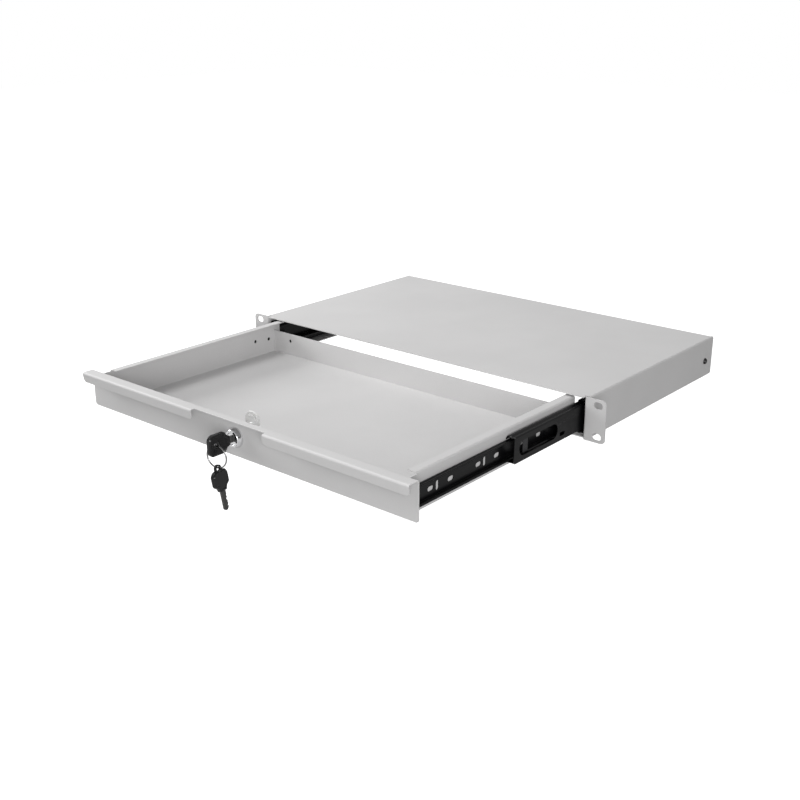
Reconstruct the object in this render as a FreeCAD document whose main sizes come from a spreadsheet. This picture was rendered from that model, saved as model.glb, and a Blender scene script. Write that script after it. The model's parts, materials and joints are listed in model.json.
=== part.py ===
import FreeCAD, Part

import math
import os

import Sketcher
from FreeCAD import Placement, Rotation, Vector

# A 1U sliding drawer for a 19-inch rack: a bent-sheet housing with rack ears, a sheet-metal
# drawer on two three-section ball-bearing slides, and a cam lock with two keys on a ring.
#
# Frame, in millimetres: the origin is the centre of the four ear slots, on the ears' rear
# face.  +X is to the right seen from the front, +Y to the rear and +Z up.  The drawer is
# drawn fully open, towards -Y.

DOC = FreeCAD.newDocument("sliding_rack_drawer")

# Driving dimensions: alias, value, what it is.  The thicknesses of fitted stacks, such as
# the slides, follow from these.
DIMENSIONS = [
    # Rack ears
    ("ear_span", 482.6, "width over both ears, the 19-inch standard"),
    ("ear_height", 43.7, "height of an ear, one rack unit less its clearance"),
    ("ear_corner", 4.0, "corner radius of an ear"),
    ("slot_inset", 8.75, "middle of a slot from the ear's end, 465.1 between the two ears"),
    ("slot_pitch_z", 31.75, "between the two slots of one ear"),
    ("ear_slot_length", 10.0, "end to end"),
    ("ear_slot_width", 7.0, "across"),
    # Housing shell
    ("ear_reach", 19.0, "an ear past the housing's side wall"),
    ("shell_height", 44.0, "over the cover and the bottom flanges"),
    ("rear_room", 11.0, "between the closed drawer and the housing's back"),
    ("shell_sheet", 1.2, "thickness of the bent sheet"),
    ("bend_radius", 1.0, "inside radius of every bend in painted sheet"),
    ("cover_overhang", 3.0, "cover in front of the ears' rear face"),
    ("wall_setback", 2.5, "side walls behind the ears, so that a rack rail lies flat on them"),
    ("cover_notch", 0.5, "between the cover's front strip and an ear"),
    ("bottom_flange", 20.0, "inward flange under each side wall"),
    ("rear_flange", 8.0, "stiffening edge turned down at the back of the cover"),
    ("rear_corner", 3.0, "radius at the lower rear corner of a side wall"),
    # Ear brackets
    ("bracket_sheet", 1.5, "thickness of an ear and of its leg along the side wall"),
    ("bracket_gap", 0.4, "between the closed front panel and an ear"),
    ("bracket_drop", 1.4, "between a bracket's leg and the cover above it"),
    ("bracket_rear_inset", 12.0, "end of a bracket's leg in front of the housing's back"),
    ("spacer_radius", 4.5, "spacers between the brackets and the side walls"),
    # Cross rails
    ("rail_sheet", 1.0, "thickness"),
    ("rail_depth", 26.0, "front to back"),
    ("rail_end_gap", 0.5, "between a rail's end and a bracket's leg"),
    ("rail_lip_gap", 2.5, "between a rail's lip and a slide"),
    ("rear_rail_inset", 14.0, "from the back of the shell to the rear rail"),
    ("rear_rail_lip", 3.0, "stiffening lip of the rear rail"),
    ("keeper_clearance", 0.5, "between the keeper lip and the drawer floor"),
    ("keeper_play", 1.0, "between the lock cam and the keeper lip"),
    ("rivet_radius", 1.6, "rivet shank"),
    ("rivet_head_radius", 3.0, "rivet head"),
    ("rivet_head_height", 0.8, "rivet head"),
    ("rivet_pitch", 12.0, "between the two rivets at a rail's end"),
    # Drawer front
    ("travel", 250.0, "how far the drawer slides"),
    ("panel_inset", 5.3, "end of the front panel from the housing's side face"),
    ("panel_height", 38.2, "front panel"),
    ("panel_sheet", 1.2, "front panel thickness"),
    ("panel_corner", 3.0, "radius at the lower corners of the panel"),
    ("cover_clearance", 1.3, "between the closed panel and the cover"),
    ("lip_reach", 12.5, "a handle lip's reach in front of the panel"),
    ("lip_drop", 10.3, "height of a handle lip"),
    ("lip_inner_end", 48.0, "from the middle to where a handle lip starts"),
    ("lip_corner", 4.0, "radius at the lower corners of a handle lip"),
    # Drawer tray
    ("tray_tail", 2.0, "side walls of the open drawer behind the ears' rear face"),
    ("tray_sheet", 1.0, "thickness"),
    ("floor_rise", 1.4, "underside of the floor above the panel's lower edge"),
    ("wall_drop", 0.6, "top of the side walls below the panel's top edge"),
    ("tray_flange", 9.5, "inward flange along the top of a side wall"),
    ("flange_notch", 11.5, "between the panel and the start of a flange"),
    ("back_height", 26.3, "back wall"),
    ("back_wall_inset", 8.0, "back wall in front of the side walls' ends"),
    ("front_flange", 11.8, "height of the tray's upturned front edge"),
    ("front_flange_gap", 36.0, "gap in the upturned front edge for the lock"),
    ("cam_slot_width", 29.0, "slot in the floor that the lock cam turns through"),
    ("cam_slot_depth", 7.0, "front to back"),
    ("tray_hole_radius", 2.0, "plain holes in the side and back walls"),
    ("back_hole_inset", 26.7, "holes of the back wall from the side walls"),
    ("side_hole_inset", 39.0, "hole of a side wall in front of the tray's back"),
    ("side_hole_level", 18.8, "holes of the side walls above the floor's underside"),
    ("back_hole_level", 17.7, "holes of the back wall above the floor's underside"),
    # Ball-bearing slides
    ("slide_height", 35.0, "over the outer member's races"),
    ("slide_inset", 1.5, "start of the outer member behind the ears' rear face"),
    ("slide_rear_inset", 11.5, "end of the outer member in front of the housing's back"),
    ("slide_level", -0.3, "height of the slides' centre line"),
    ("slide_sheet", 1.0, "thickness of all three members"),
    ("web_gap", 1.43, "between the webs of the outer and middle members"),
    ("ball_radius", 2.0, "bearing balls"),
    ("race_clearance", 0.05, "between a ball and its race"),
    ("outer_corner", 1.2, "bend at the outer member's web"),
    ("race_shoulder", 0.9, "bend that leads into a race"),
    ("inner_corner", 0.75, "bend at the drawer member's web"),
    ("middle_closed_inset", 11.0, "start of the closed middle member"),
    ("drawer_member_tail", 1.0, "drawer member past the tray's back"),
    ("window_length", 63.0, "window in the middle member's web"),
    ("window_height", 15.0, "window in the middle member's web"),
    ("window_inset", 8.0, "bridge in front of the window"),
    ("nose_radius", 5.0, "rounded front corners of the middle member"),
    ("cage_sheet", 0.5, "ball retainer strip"),
    ("outer_cage_length", 84.0, "outer ball retainer"),
    ("inner_cage_length", 76.0, "inner ball retainer"),
    ("ball_pitch", 21.0, "between the balls of one row"),
    ("pocket_clearance", 0.08, "between a ball and its pocket"),
    ("cage_ear", 1.1, "retainer edge past the ball centres"),
    ("cage_bridge", 8.0, "retainer web left at each end of its opening"),
    ("cage_border", 2.5, "retainer web left above and below its opening"),
    ("access_slot_length", 9.0, "slots in the outer member's web"),
    ("access_slot_width", 4.6, "slots in the outer member's web"),
    ("catch_hole_length", 9.0, "hole for the disconnect catch in the middle member"),
    ("catch_hole_width", 4.0, "hole for the disconnect catch in the middle member"),
    ("catch_hole_gap", 8.0, "middle of the catch hole behind the window"),
    ("catch_hole_drop", 6.0, "catch hole below the slides' centre line"),
    ("web_slot_length", 12.0, "slots in the middle member's web"),
    ("web_slot_width", 5.0, "slots in the middle member's web"),
    ("bumper_length", 5.5, "closing bumper of a slide"),
    ("bumper_width", 2.6, "closing bumper, from the web"),
    ("bumper_height", 13.0, "closing bumper"),
    ("bumper_inset", 2.5, "closing bumper in front of the outer member's end"),
    ("bumper_clearance", 0.6, "between the bumper and the screw below it"),
    ("bumper_gap", 0.5, "between the closed middle member and the bumper"),
    # Slide fixings
    ("screw_radius", 1.9, "slide screw shank"),
    ("screw_clearance", 0.1, "around a slide screw"),
    ("screw_head_radius", 3.6, "slide screw head"),
    ("screw_head_height", 1.9, "slide screw head"),
    ("screw_head_top", 2.5, "radius of the flat on a slide screw's head"),
    ("screw_tip", 0.5, "housing screw past the slide"),
    ("tray_screw_recess", 0.3, "drawer screw short of the wall's inner face"),
    ("fixing_level", -3.0, "height of the screws in the side walls"),
    ("front_fixing", 12.0, "front screw behind the ears' rear face"),
    ("rear_fixing_inset", 5.5, "rear screw in front of the outer member's end"),
    ("tray_fixing_level", 0.0, "height of the screws in the drawer walls"),
    ("tray_front_fixing", 10.0, "front screw behind the panel"),
    ("tray_rear_fixing_inset", 18.0, "rear screw in front of the tray's back"),
    ("hole_group_pitch", 66.5, "between the groups of holes in a drawer member"),
    ("hole_group_inset", 28.5, "first oval hole behind the front end"),
    ("hole_row_rise", -0.9, "row of holes above the slides' centre line"),
    ("oval_hole_length", 8.0, "oval holes in a drawer member"),
    ("oval_hole_width", 4.6, "oval holes in a drawer member"),
    ("oval_hole_step", 27.2, "between the two oval holes of a group"),
    ("tall_hole_length", 9.0, "upright holes in a drawer member"),
    ("tall_hole_width", 4.0, "upright holes in a drawer member"),
    ("tall_hole_step", 9.0, "between the first oval hole and the upright one"),
    # Cam lock
    ("lock_level", 0.4, "height of the lock's axis"),
    ("bezel_radius", 10.0, "lock bezel"),
    ("bezel_height", 5.8, "lock bezel in front of the panel"),
    ("bezel_slope", 1.45, "how much narrower the bezel is at its front"),
    ("bezel_foot", 1.2, "straight foot of the bezel"),
    ("bezel_edge", 0.6, "rounded-off front edge of the bezel"),
    ("barrel_edge", 0.8, "bevel at the barrel's end"),
    ("barrel_radius", 8.0, "threaded barrel"),
    ("barrel_reach", 18.5, "threaded barrel behind the panel"),
    ("panel_hole_clearance", 0.1, "around the barrel in the panel"),
    ("nut_height", 4.0, "lock nut"),
    ("nut_radius", 12.2, "lock nut over its corners"),
    ("plug_radius", 6.0, "turning plug"),
    ("plug_clearance", 0.05, "around the plug, each side"),
    ("plug_recess", 0.5, "plug face behind the bezel face"),
    ("plug_edge", 0.5, "bevel round the plug's face"),
    ("tang_size", 6.0, "square end of the plug"),
    ("tang_corner", 0.6, "rounded corners of the square end"),
    ("tang_clearance", 0.05, "around the square end"),
    ("tang_recess", 0.2, "square end short of the cam's rear face"),
    ("stud_radius", 2.5, "threaded end of the plug"),
    ("stud_end", 1.0, "threaded end past its nut"),
    ("cam_gap", 0.4, "between the barrel and the cam"),
    ("cam_sheet", 2.0, "cam thickness"),
    ("cam_reach", 19.6, "cam tip from the lock's axis"),
    ("cam_width", 18.0, "cam"),
    ("cam_mark_inset", 3.0, "curved slot from the edge of the cam's round head"),
    ("cam_mark_width", 1.6, "curved slot in the cam's round head"),
    ("cam_nut_height", 3.6, "nut that holds the cam"),
    ("cam_nut_radius", 5.2, "nut that holds the cam, over its corners"),
    # Keys and ring
    ("keyway_depth", 20.5, "slot for the key in the plug"),
    ("keyway_clearance", 0.12, "around the blade, each side"),
    ("blade_length", 18.5, "key blade in front of its head"),
    ("blade_height", 6.4, "key blade"),
    ("blade_thickness", 2.0, "key blade"),
    ("blade_root", 6.0, "key blade inside its head"),
    ("blade_cut_flat", 0.6, "flat at the bottom of a cut in the blade"),
    ("key_gap", 2.8, "between the bezel face and the head of the key"),
    ("head_length", 25.0, "key head"),
    ("head_width", 20.5, "key head"),
    ("head_thickness", 5.4, "key head"),
    ("head_bevel", 1.1, "bevel round the key head"),
    ("head_cut", 3.4, "cut corners of the key head"),
    ("collar_length", 3.0, "narrow collar of the key head"),
    ("collar_width", 10.0, "narrow collar of the key head"),
    ("tab_radius", 4.0, "tab at the end of the second key's head"),
    ("spare_head_length", 20.0, "head of the second key without its tab"),
    ("tab_reach", 21.4, "hole of the second key from the start of its blade"),
    ("tab_root", 5.0, "tab inside the second key's head"),
    ("ring_hole_inset", 15.5, "hole of the first key from the start of its blade"),
    ("ring_hole_radius", 2.9, "hole for the ring"),
    ("ring_radius", 10.7, "key ring, to the middle of its wire"),
    ("ring_wire", 0.65, "radius of the ring's wire"),
    ("ring_slack", 1.1, "between the ring and the edge of a key's hole"),
]

BALLS_PER_ROW = 4
HOLE_GROUPS = 3
RACE_ANGLE = 50.0          # degrees, where the race of one ball row turns into the next
DRAWER_RACE_END = 105.0    # degrees, how far the drawer member curls round its balls
SECOND_KEY_LEAN = 11.0     # degrees, how far the hanging key leans to the right
RING_TURN = 12.0           # degrees, how far the ring and that key turn about the vertical
CAM_MARK_START = 15.0      # degrees, where the curved slot in the cam starts
CAM_MARK_SWEEP = 115.0     # degrees, how far it runs round
KEY_CUTS = (1.0, 0.5, 1.4, 0.7)         # depths of the cuts in a key blade, from its tip
OUTER_SLOT_SHARES = (0.3, 0.5, 0.7)     # places of slots along the outer member
MIDDLE_SLOT_SHARES = (0.55, 0.75)       # places of slots along the middle member

SHEET = DOC.addObject("Spreadsheet::Sheet", "Sizes")
for row, (alias, size, meaning) in enumerate(DIMENSIONS, start=1):
    SHEET.set(f"A{row}", alias)
    SHEET.set(f"B{row}", str(size))
    SHEET.set(f"C{row}", meaning)
    SHEET.setAlias(f"B{row}", alias)
DOC.recompute()


# ---------------------------------------------------------------------------
# Lengths that know both their number and their sheet expression
# ---------------------------------------------------------------------------

class Dim:
    """A sum of sheet dimensions, each times a factor, plus a constant."""

    def __init__(self, terms=None, constant=0.0):
        self.terms = {name: factor for name, factor in (terms or {}).items() if factor}
        self.constant = constant

    @property
    def value(self):
        return self.constant + sum(f * float(SHEET.get(n)) for n, f in self.terms.items())

    @property
    def expr(self):
        parts = [f"{factor:.9f} * Sizes.{name}" for name, factor in self.terms.items()]
        parts.append(f"{self.constant:.9f}")
        return " + ".join(parts).replace("+ -", "- ")

    def __add__(self, other):
        other = as_dim(other)
        terms = dict(self.terms)
        for name, factor in other.terms.items():
            terms[name] = terms.get(name, 0.0) + factor
        return Dim(terms, self.constant + other.constant)

    def __mul__(self, factor):
        scaled = {name: f * factor for name, f in self.terms.items()}
        return Dim(scaled, self.constant * factor)

    def __neg__(self):
        return self * -1.0

    def __sub__(self, other):
        return self + as_dim(other) * -1.0

    def __rsub__(self, other):
        return as_dim(other) - self

    def __truediv__(self, divisor):
        return self * (1.0 / divisor)

    __radd__ = __add__
    __rmul__ = __mul__


def as_dim(number):
    return number if isinstance(number, Dim) else Dim(constant=float(number))


class Sizes:
    """Gives each alias of the sheet as a Dim."""

    def __getattr__(self, alias):
        return Dim({alias: 1.0})


S = Sizes()


def bind(obj, prop, length):
    """Bind a property, or one part of a placement, to the sheet."""
    obj.setExpression(prop, as_dim(length).expr)


# ---------------------------------------------------------------------------
# Outlines: closed loops of lines and arcs whose corners are Dims
# ---------------------------------------------------------------------------

class Edge:
    """One side of an outline. `centre` and `left_turn` are set on arcs only."""

    def __init__(self, start, end, centre=None, left_turn=True):
        self.start = start
        self.end = end
        self.centre = centre
        self.left_turn = left_turn


def moved(point, distance, heading):
    """The point `distance` away from `point` along `heading`, in degrees."""
    angle = math.radians(heading)
    return (point[0] + distance * math.cos(angle), point[1] + distance * math.sin(angle))


def line(length):
    return ("line", as_dim(length), 0.0)


def bend(radius, turn):
    """An arc of `radius` that turns left by `turn` degrees, or right if negative."""
    return ("bend", as_dim(radius), turn)


def walk(start, heading, moves, side=0.0):
    """Follow the moves; `side` shifts the track to the left of the way walked."""
    point = (as_dim(start[0]), as_dim(start[1]))
    side = as_dim(side)
    edges = []
    for kind, size, turn in moves:
        here = moved(point, side, heading + 90.0)
        centre = None
        if kind == "line":
            point = moved(point, size, heading)
        if kind == "bend":
            sense = math.copysign(90.0, turn)
            centre = moved(point, size, heading + sense)
            point = moved(centre, size, heading + turn - sense)
        heading += turn
        there = moved(point, side, heading + 90.0)
        edges.append(Edge(here, there, centre, turn > 0))
    return edges, point, heading


def outline(start, heading, moves):
    """A closed loop that comes back to its start."""
    return walk(start, heading, moves)[0]


def strip(start, heading, moves, thickness):
    """The section of a bent sheet: both faces of a walked middle line, and its ends."""
    half = as_dim(thickness) / 2
    left = walk(start, heading, moves, half)[0]
    right = walk(start, heading, moves, -half)[0]
    back = [Edge(e.end, e.start, e.centre, not e.left_turn) for e in reversed(right)]
    end_cap = Edge(left[-1].end, back[0].start)
    start_cap = Edge(back[-1].end, left[0].start)
    return left + [end_cap] + back + [start_cap]


def rectangle(x_low, y_low, x_high, y_high, radius=None):
    if radius is None:
        corners = [(x_low, y_low), (x_high, y_low), (x_high, y_high), (x_low, y_high)]
        return polygon(corners)
    x_low, y_low = as_dim(x_low), as_dim(y_low)
    wide = as_dim(x_high) - x_low - 2 * radius
    high = as_dim(y_high) - y_low - 2 * radius
    quarter = bend(radius, 90.0)
    moves = [line(wide), quarter, line(high), quarter] * 2
    return outline((x_low + radius, y_low), 0.0, moves)


def polygon(points):
    points = [(as_dim(x), as_dim(y)) for x, y in points]
    return [Edge(p, q) for p, q in zip(points, points[1:] + points[:1])]


def slot(x, y, length, width, heading=0.0):
    """A round-ended slot centred on x, y, with its length along the heading."""
    radius = as_dim(width) / 2
    straight = as_dim(length) - as_dim(width)
    centre = (as_dim(x), as_dim(y))
    start = moved(moved(centre, straight / 2, heading + 180.0), radius, heading - 90.0)
    half_turn = bend(radius, 180.0)
    return outline(start, heading, [line(straight), half_turn] * 2)


def circle(x, y, radius):
    return (as_dim(x), as_dim(y), as_dim(radius))


def corner_waste(x, y, radius, sign_x, sign_y):
    """What a rounding of `radius` takes off a square corner at x, y.

    The signs say which way the corner points, and the loop runs a little outside it.
    """
    spare = 1.0
    x, y = as_dim(x), as_dim(y)
    radius = as_dim(radius)
    tangent_a = (x, y - sign_y * radius)
    outside_a = (x + sign_x * spare, y - sign_y * radius)
    outside = (x + sign_x * spare, y + sign_y * spare)
    outside_b = (x - sign_x * radius, y + sign_y * spare)
    tangent_b = (x - sign_x * radius, y)
    centre = (x - sign_x * radius, y - sign_y * radius)
    points = [tangent_a, outside_a, outside, outside_b, tangent_b]
    edges = [Edge(p, q) for p, q in zip(points, points[1:])]
    edges.append(Edge(tangent_b, tangent_a, centre, sign_x * sign_y < 0))
    return edges


# ---------------------------------------------------------------------------
# PartDesign helpers
# ---------------------------------------------------------------------------

# For each plane: the role of the body's origin plane, and whether the sketch's normal
# points along the plane's axis (+1) or against it (-1).
PLANES = {"XY": ("XY_Plane", 1), "XZ": ("XZ_Plane", -1), "YZ": ("YZ_Plane", 1)}

Y_AXIS = Vector(0, 1, 0)
Z_AXIS = Vector(0, 0, 1)
NODES = []


def keep(obj, label):
    """Give a sub-part the label that names its file."""
    obj.Label = label
    NODES.append(obj)
    return obj


def new_body(label, at=(0, 0, 0)):
    body = DOC.addObject("PartDesign::Body", label)
    for axis, length in zip("xyz", at):
        bind(body, f"Placement.Base.{axis}", length)
    return keep(body, label)


def vector(point):
    return Vector(as_dim(point[0]).value, as_dim(point[1]).value, 0)


def add_edge(sketch, edge):
    """Draw one edge; returns its index and which of its ends is the walked start."""
    start, end = vector(edge.start), vector(edge.end)
    if edge.centre is None:
        return sketch.addGeometry(Part.LineSegment(start, end), False), 1
    centre = vector(edge.centre)
    first, last = (start, end) if edge.left_turn else (end, start)
    angle_first = math.atan2(first.y - centre.y, first.x - centre.x)
    angle_last = math.atan2(last.y - centre.y, last.x - centre.x)
    if angle_last <= angle_first:
        angle_last += 2 * math.pi
    ring = Part.Circle(centre, Vector(0, 0, 1), centre.distanceToPoint(first))
    index = sketch.addGeometry(Part.ArcOfCircle(ring, angle_first, angle_last), False)
    return index, (1 if edge.left_turn else 2)


def pin(rules, geometry, end, point, axes=(0, 1)):
    """Rules that hold a sketch point at a Dim position."""
    for axis in axes:
        name = ("DistanceX", "DistanceY")[axis]
        length = as_dim(point[axis])
        rule = Sketcher.Constraint(name, -1, 1, geometry, end, length.value)
        rules.append((rule, length))


def draw_loop(sketch, loop, rules):
    if isinstance(loop, tuple):
        x, y, radius = loop
        ring = Part.Circle(vector((x, y)), Vector(0, 0, 1), radius.value)
        index = sketch.addGeometry(ring, False)
        pin(rules, index, 3, (x, y))
        rules.append((Sketcher.Constraint("Radius", index, radius.value), radius))
        return
    drawn = [add_edge(sketch, edge) for edge in loop]
    for number, edge in enumerate(loop):
        index, start = drawn[number]
        before, before_start = drawn[number - 1]
        pin(rules, index, start, edge.start)
        rules.append((Sketcher.Constraint("Coincident", before, 3 - before_start, index, start), None))
        if edge.centre is not None:
            chord = vector(edge.end) - vector(edge.start)
            axis = 0 if abs(chord.y) > abs(chord.x) else 1
            pin(rules, index, 3, edge.centre, axes=(axis,))


def new_sketch(body, name, plane, level, loops):
    """A sketch on one of the body's own origin planes, moved to `level` along its axis."""
    role, sense = PLANES[plane]
    base = next(f for f in body.Origin.OriginFeatures if f.Role == role)
    sketch = body.newObject("Sketcher::SketchObject", name)
    sketch.AttachmentSupport = [(base, "")]
    sketch.MapMode = "FlatFace"
    bind(sketch, "AttachmentOffset.Base.z", sense * as_dim(level))
    rules = []
    for loop in loops:
        draw_loop(sketch, loop, rules)
    sketch.addConstraint([rule for rule, _ in rules])
    for number, (_, length) in enumerate(rules):
        if length is not None and length.terms:
            sketch.setExpression(f"Constraints[{number}]", length.expr)
    return sketch


def pad(body, name, plane, level, length, *loops):
    """Extrude loops from `level` towards the plus side of the plane's axis."""
    sketch = new_sketch(body, name + "_sketch", plane, level, loops)
    feature = body.newObject("PartDesign::Pad", name)
    feature.Profile = sketch
    feature.Reversed = PLANES[plane][1] < 0
    bind(feature, "Length", length)
    return feature


def pocket(body, name, plane, level, length, *loops):
    """Cut loops from `level` towards the plus side of the plane's axis."""
    DOC.recompute()
    volume = body.Shape.Volume
    sketch = new_sketch(body, name + "_sketch", plane, level, loops)
    feature = body.newObject("PartDesign::Pocket", name)
    feature.Profile = sketch
    feature.Reversed = PLANES[plane][1] > 0
    bind(feature, "Length", length)
    DOC.recompute()
    if body.Shape.Volume >= volume:
        raise ValueError(f"{body.Label}: {name} removes nothing")
    return feature


def turn_profile(body, name, points):
    """Revolve a closed profile of (y, radius) points about the body's own Y axis."""
    sketch = new_sketch(body, name + "_sketch", "YZ", 0.0, [polygon(points)])
    feature = body.newObject("PartDesign::Revolution", name)
    feature.Profile = sketch
    feature.ReferenceAxis = (sketch, ["H_Axis"])
    feature.Angle = 360.0
    return feature


def edge_names(shape, test):
    return [f"Edge{n}" for n, edge in enumerate(shape.Edges, start=1) if test(edge)]


def fillet(body, name, radius, test):
    """Round the edges of the body's present shape that pass the test."""
    DOC.recompute()
    base = body.Tip
    names = edge_names(base.Shape, test)
    if not names:
        raise ValueError(f"{body.Label}: {name} finds no edge")
    feature = body.newObject("PartDesign::Fillet", name)
    feature.Base = (base, names)
    bind(feature, "Radius", radius)
    return feature


def chamfer(body, name, size, test):
    """Bevel the edges of the body's present shape that pass the test."""
    DOC.recompute()
    base = body.Tip
    names = edge_names(base.Shape, test)
    if not names:
        raise ValueError(f"{body.Label}: {name} finds no edge")
    feature = body.newObject("PartDesign::Chamfer", name)
    feature.Base = (base, names)
    bind(feature, "Size", size)
    return feature


def runs_along(edge, axis):
    """Whether a straight edge runs along an axis, 0 to 2."""
    if not isinstance(edge.Curve, (Part.Line, Part.LineSegment)):
        return False
    direction = edge.Vertexes[-1].Point - edge.Vertexes[0].Point
    return abs(direction[axis]) > 0.999 * direction.Length


def near(number, length):
    return abs(number - as_dim(length).value) < 0.01


# ---------------------------------------------------------------------------
# Places that several pieces share
# ---------------------------------------------------------------------------

shell_half = S.ear_span / 2 - S.ear_reach
shell_depth = S.travel + S.tray_tail + S.rear_room
wall_inner = shell_half - S.shell_sheet
shell_top = S.shell_height / 2
cover_inner = shell_top - S.shell_sheet
shell_bottom = -shell_top
shell_bend = S.bend_radius + S.shell_sheet / 2
shell_turn = S.bend_radius + S.shell_sheet

panel_back = -S.travel
panel_front = panel_back - S.panel_sheet
panel_half = shell_half - S.panel_inset
panel_top = cover_inner - S.cover_clearance
panel_bottom = panel_top - S.panel_height
panel_bend = S.bend_radius + S.panel_sheet / 2
panel_turn = S.bend_radius + S.panel_sheet

# The slide's section, in distances u from the bracket and v from its centre line.  Balls
# run between race bends; each bend has the same radius at the middle of the sheet.
race = S.ball_radius + S.race_clearance + S.slide_sheet / 2
RACE_COS = math.cos(math.radians(RACE_ANGLE))
RACE_SIN = math.sin(math.radians(RACE_ANGLE))
slide_seat = panel_half + S.bracket_gap
middle_web = S.slide_sheet * 1.5 + S.web_gap
outer_ball_u = middle_web + S.race_shoulder + RACE_COS * (race + S.race_shoulder)
outer_ball_v = S.slide_height / 2 - race - S.slide_sheet / 2
inner_ball_u = outer_ball_u + 2 * RACE_COS * race
inner_ball_v = outer_ball_v - 2 * RACE_SIN * race
drawer_web = inner_ball_u + RACE_COS * (race + S.inner_corner) + S.inner_corner
slide_thickness = drawer_web + S.slide_sheet / 2

tray_half = slide_seat - slide_thickness
tray_wall_inner = tray_half - S.tray_sheet
tray_depth = S.travel + S.tray_tail
tray_back = S.tray_tail
back_wall_at = tray_back - S.back_wall_inset - S.tray_sheet
tray_bend = S.bend_radius + S.tray_sheet / 2
tray_turn = S.bend_radius + S.tray_sheet
floor_under = panel_bottom + S.floor_rise
floor_top = floor_under + S.tray_sheet
wall_top = panel_top - S.wall_drop

barrel_end = panel_back + S.barrel_reach
cam_front = barrel_end + S.cam_gap
cam_back = cam_front + S.cam_sheet
keeper_front = cam_front + S.travel - S.keeper_play - S.rail_sheet
keeper_top = floor_under - S.keeper_clearance

slide_end = shell_depth - S.slide_rear_inset
slide_length = slide_end - S.slide_inset
wall_fixings = (S.front_fixing, slide_end - S.rear_fixing_inset)
tray_fixings = (panel_back + S.tray_front_fixing, tray_back - S.tray_rear_fixing_inset)
bumper_start = slide_end - S.bumper_inset - S.bumper_length
middle_start = S.middle_closed_inset - S.travel / 2
middle_length = bumper_start - S.bumper_gap - S.middle_closed_inset
drawer_member_length = tray_depth - S.back_wall_inset + S.drawer_member_tail
screw_holes = S.screw_radius + S.screw_clearance


# ---------------------------------------------------------------------------
# Housing
# ---------------------------------------------------------------------------

def both_sides(start, heading, moves, thickness):
    """A strip section and its mirror image in x."""
    mirrored = [(kind, size, -turn) for kind, size, turn in moves]
    other_start = (-as_dim(start[0]), start[1])
    other = strip(other_start, 180.0 - heading, mirrored, thickness)
    return strip(start, heading, moves, thickness), other


def make_shell():
    """Cover, side walls and bottom flanges, bent from one sheet."""
    body = new_body("housing_shell")
    flange = line(S.bottom_flange - shell_turn)
    turn = bend(shell_bend, -90.0)
    wall = line(S.shell_height - 2 * shell_turn)
    cover = line(2 * shell_half - 2 * shell_turn)
    start = (S.bottom_flange - shell_half, shell_bottom + S.shell_sheet / 2)
    moves = [flange, turn, wall, turn, cover, turn, wall, turn, flange]
    section = strip(start, 180.0, moves, S.shell_sheet)
    pad(body, "channel", "XZ", S.wall_setback, shell_depth - S.wall_setback, section)

    strip_half = slide_seat - S.cover_notch
    front_edge = rectangle(-strip_half, cover_inner, strip_half, shell_top)
    strip_depth = S.cover_overhang + S.wall_setback + S.bend_radius
    pad(body, "cover_front", "XZ", -S.cover_overhang, strip_depth, front_edge)

    back = shell_depth
    cover_flat = shell_half - shell_turn
    above = shell_top + S.shell_sheet
    past_cover = rectangle(-cover_flat, cover_inner - S.shell_sheet, cover_flat, above)
    pocket(body, "cover_back", "XZ", back - shell_turn, shell_turn, past_cover)
    overlap = S.shell_sheet / 2
    turned_down = [line(overlap), turn, line(S.rear_flange - shell_turn)]
    edge_start = (back - shell_turn - overlap, shell_top - S.shell_sheet / 2)
    edge = strip(edge_start, 0.0, turned_down, S.shell_sheet)
    pad(body, "rear_edge", "YZ", -cover_flat, 2 * cover_flat, edge)
    rear_corner = corner_waste(back, shell_bottom, S.rear_corner, 1, -1)
    pocket(body, "rear_corners", "YZ", -shell_half, 2 * shell_half, rear_corner)

    screws = [circle(y, S.fixing_level, screw_holes) for y in wall_fixings]
    pocket(body, "screw_holes_left", "YZ", -shell_half, S.shell_sheet, *screws)
    pocket(body, "screw_holes_right", "YZ", wall_inner, S.shell_sheet, *screws)
    rivets = [circle(x, y, S.rivet_radius) for x, y in rivet_places()]
    pocket(body, "rivet_holes", "XY", shell_bottom, S.shell_sheet, *rivets)


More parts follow.
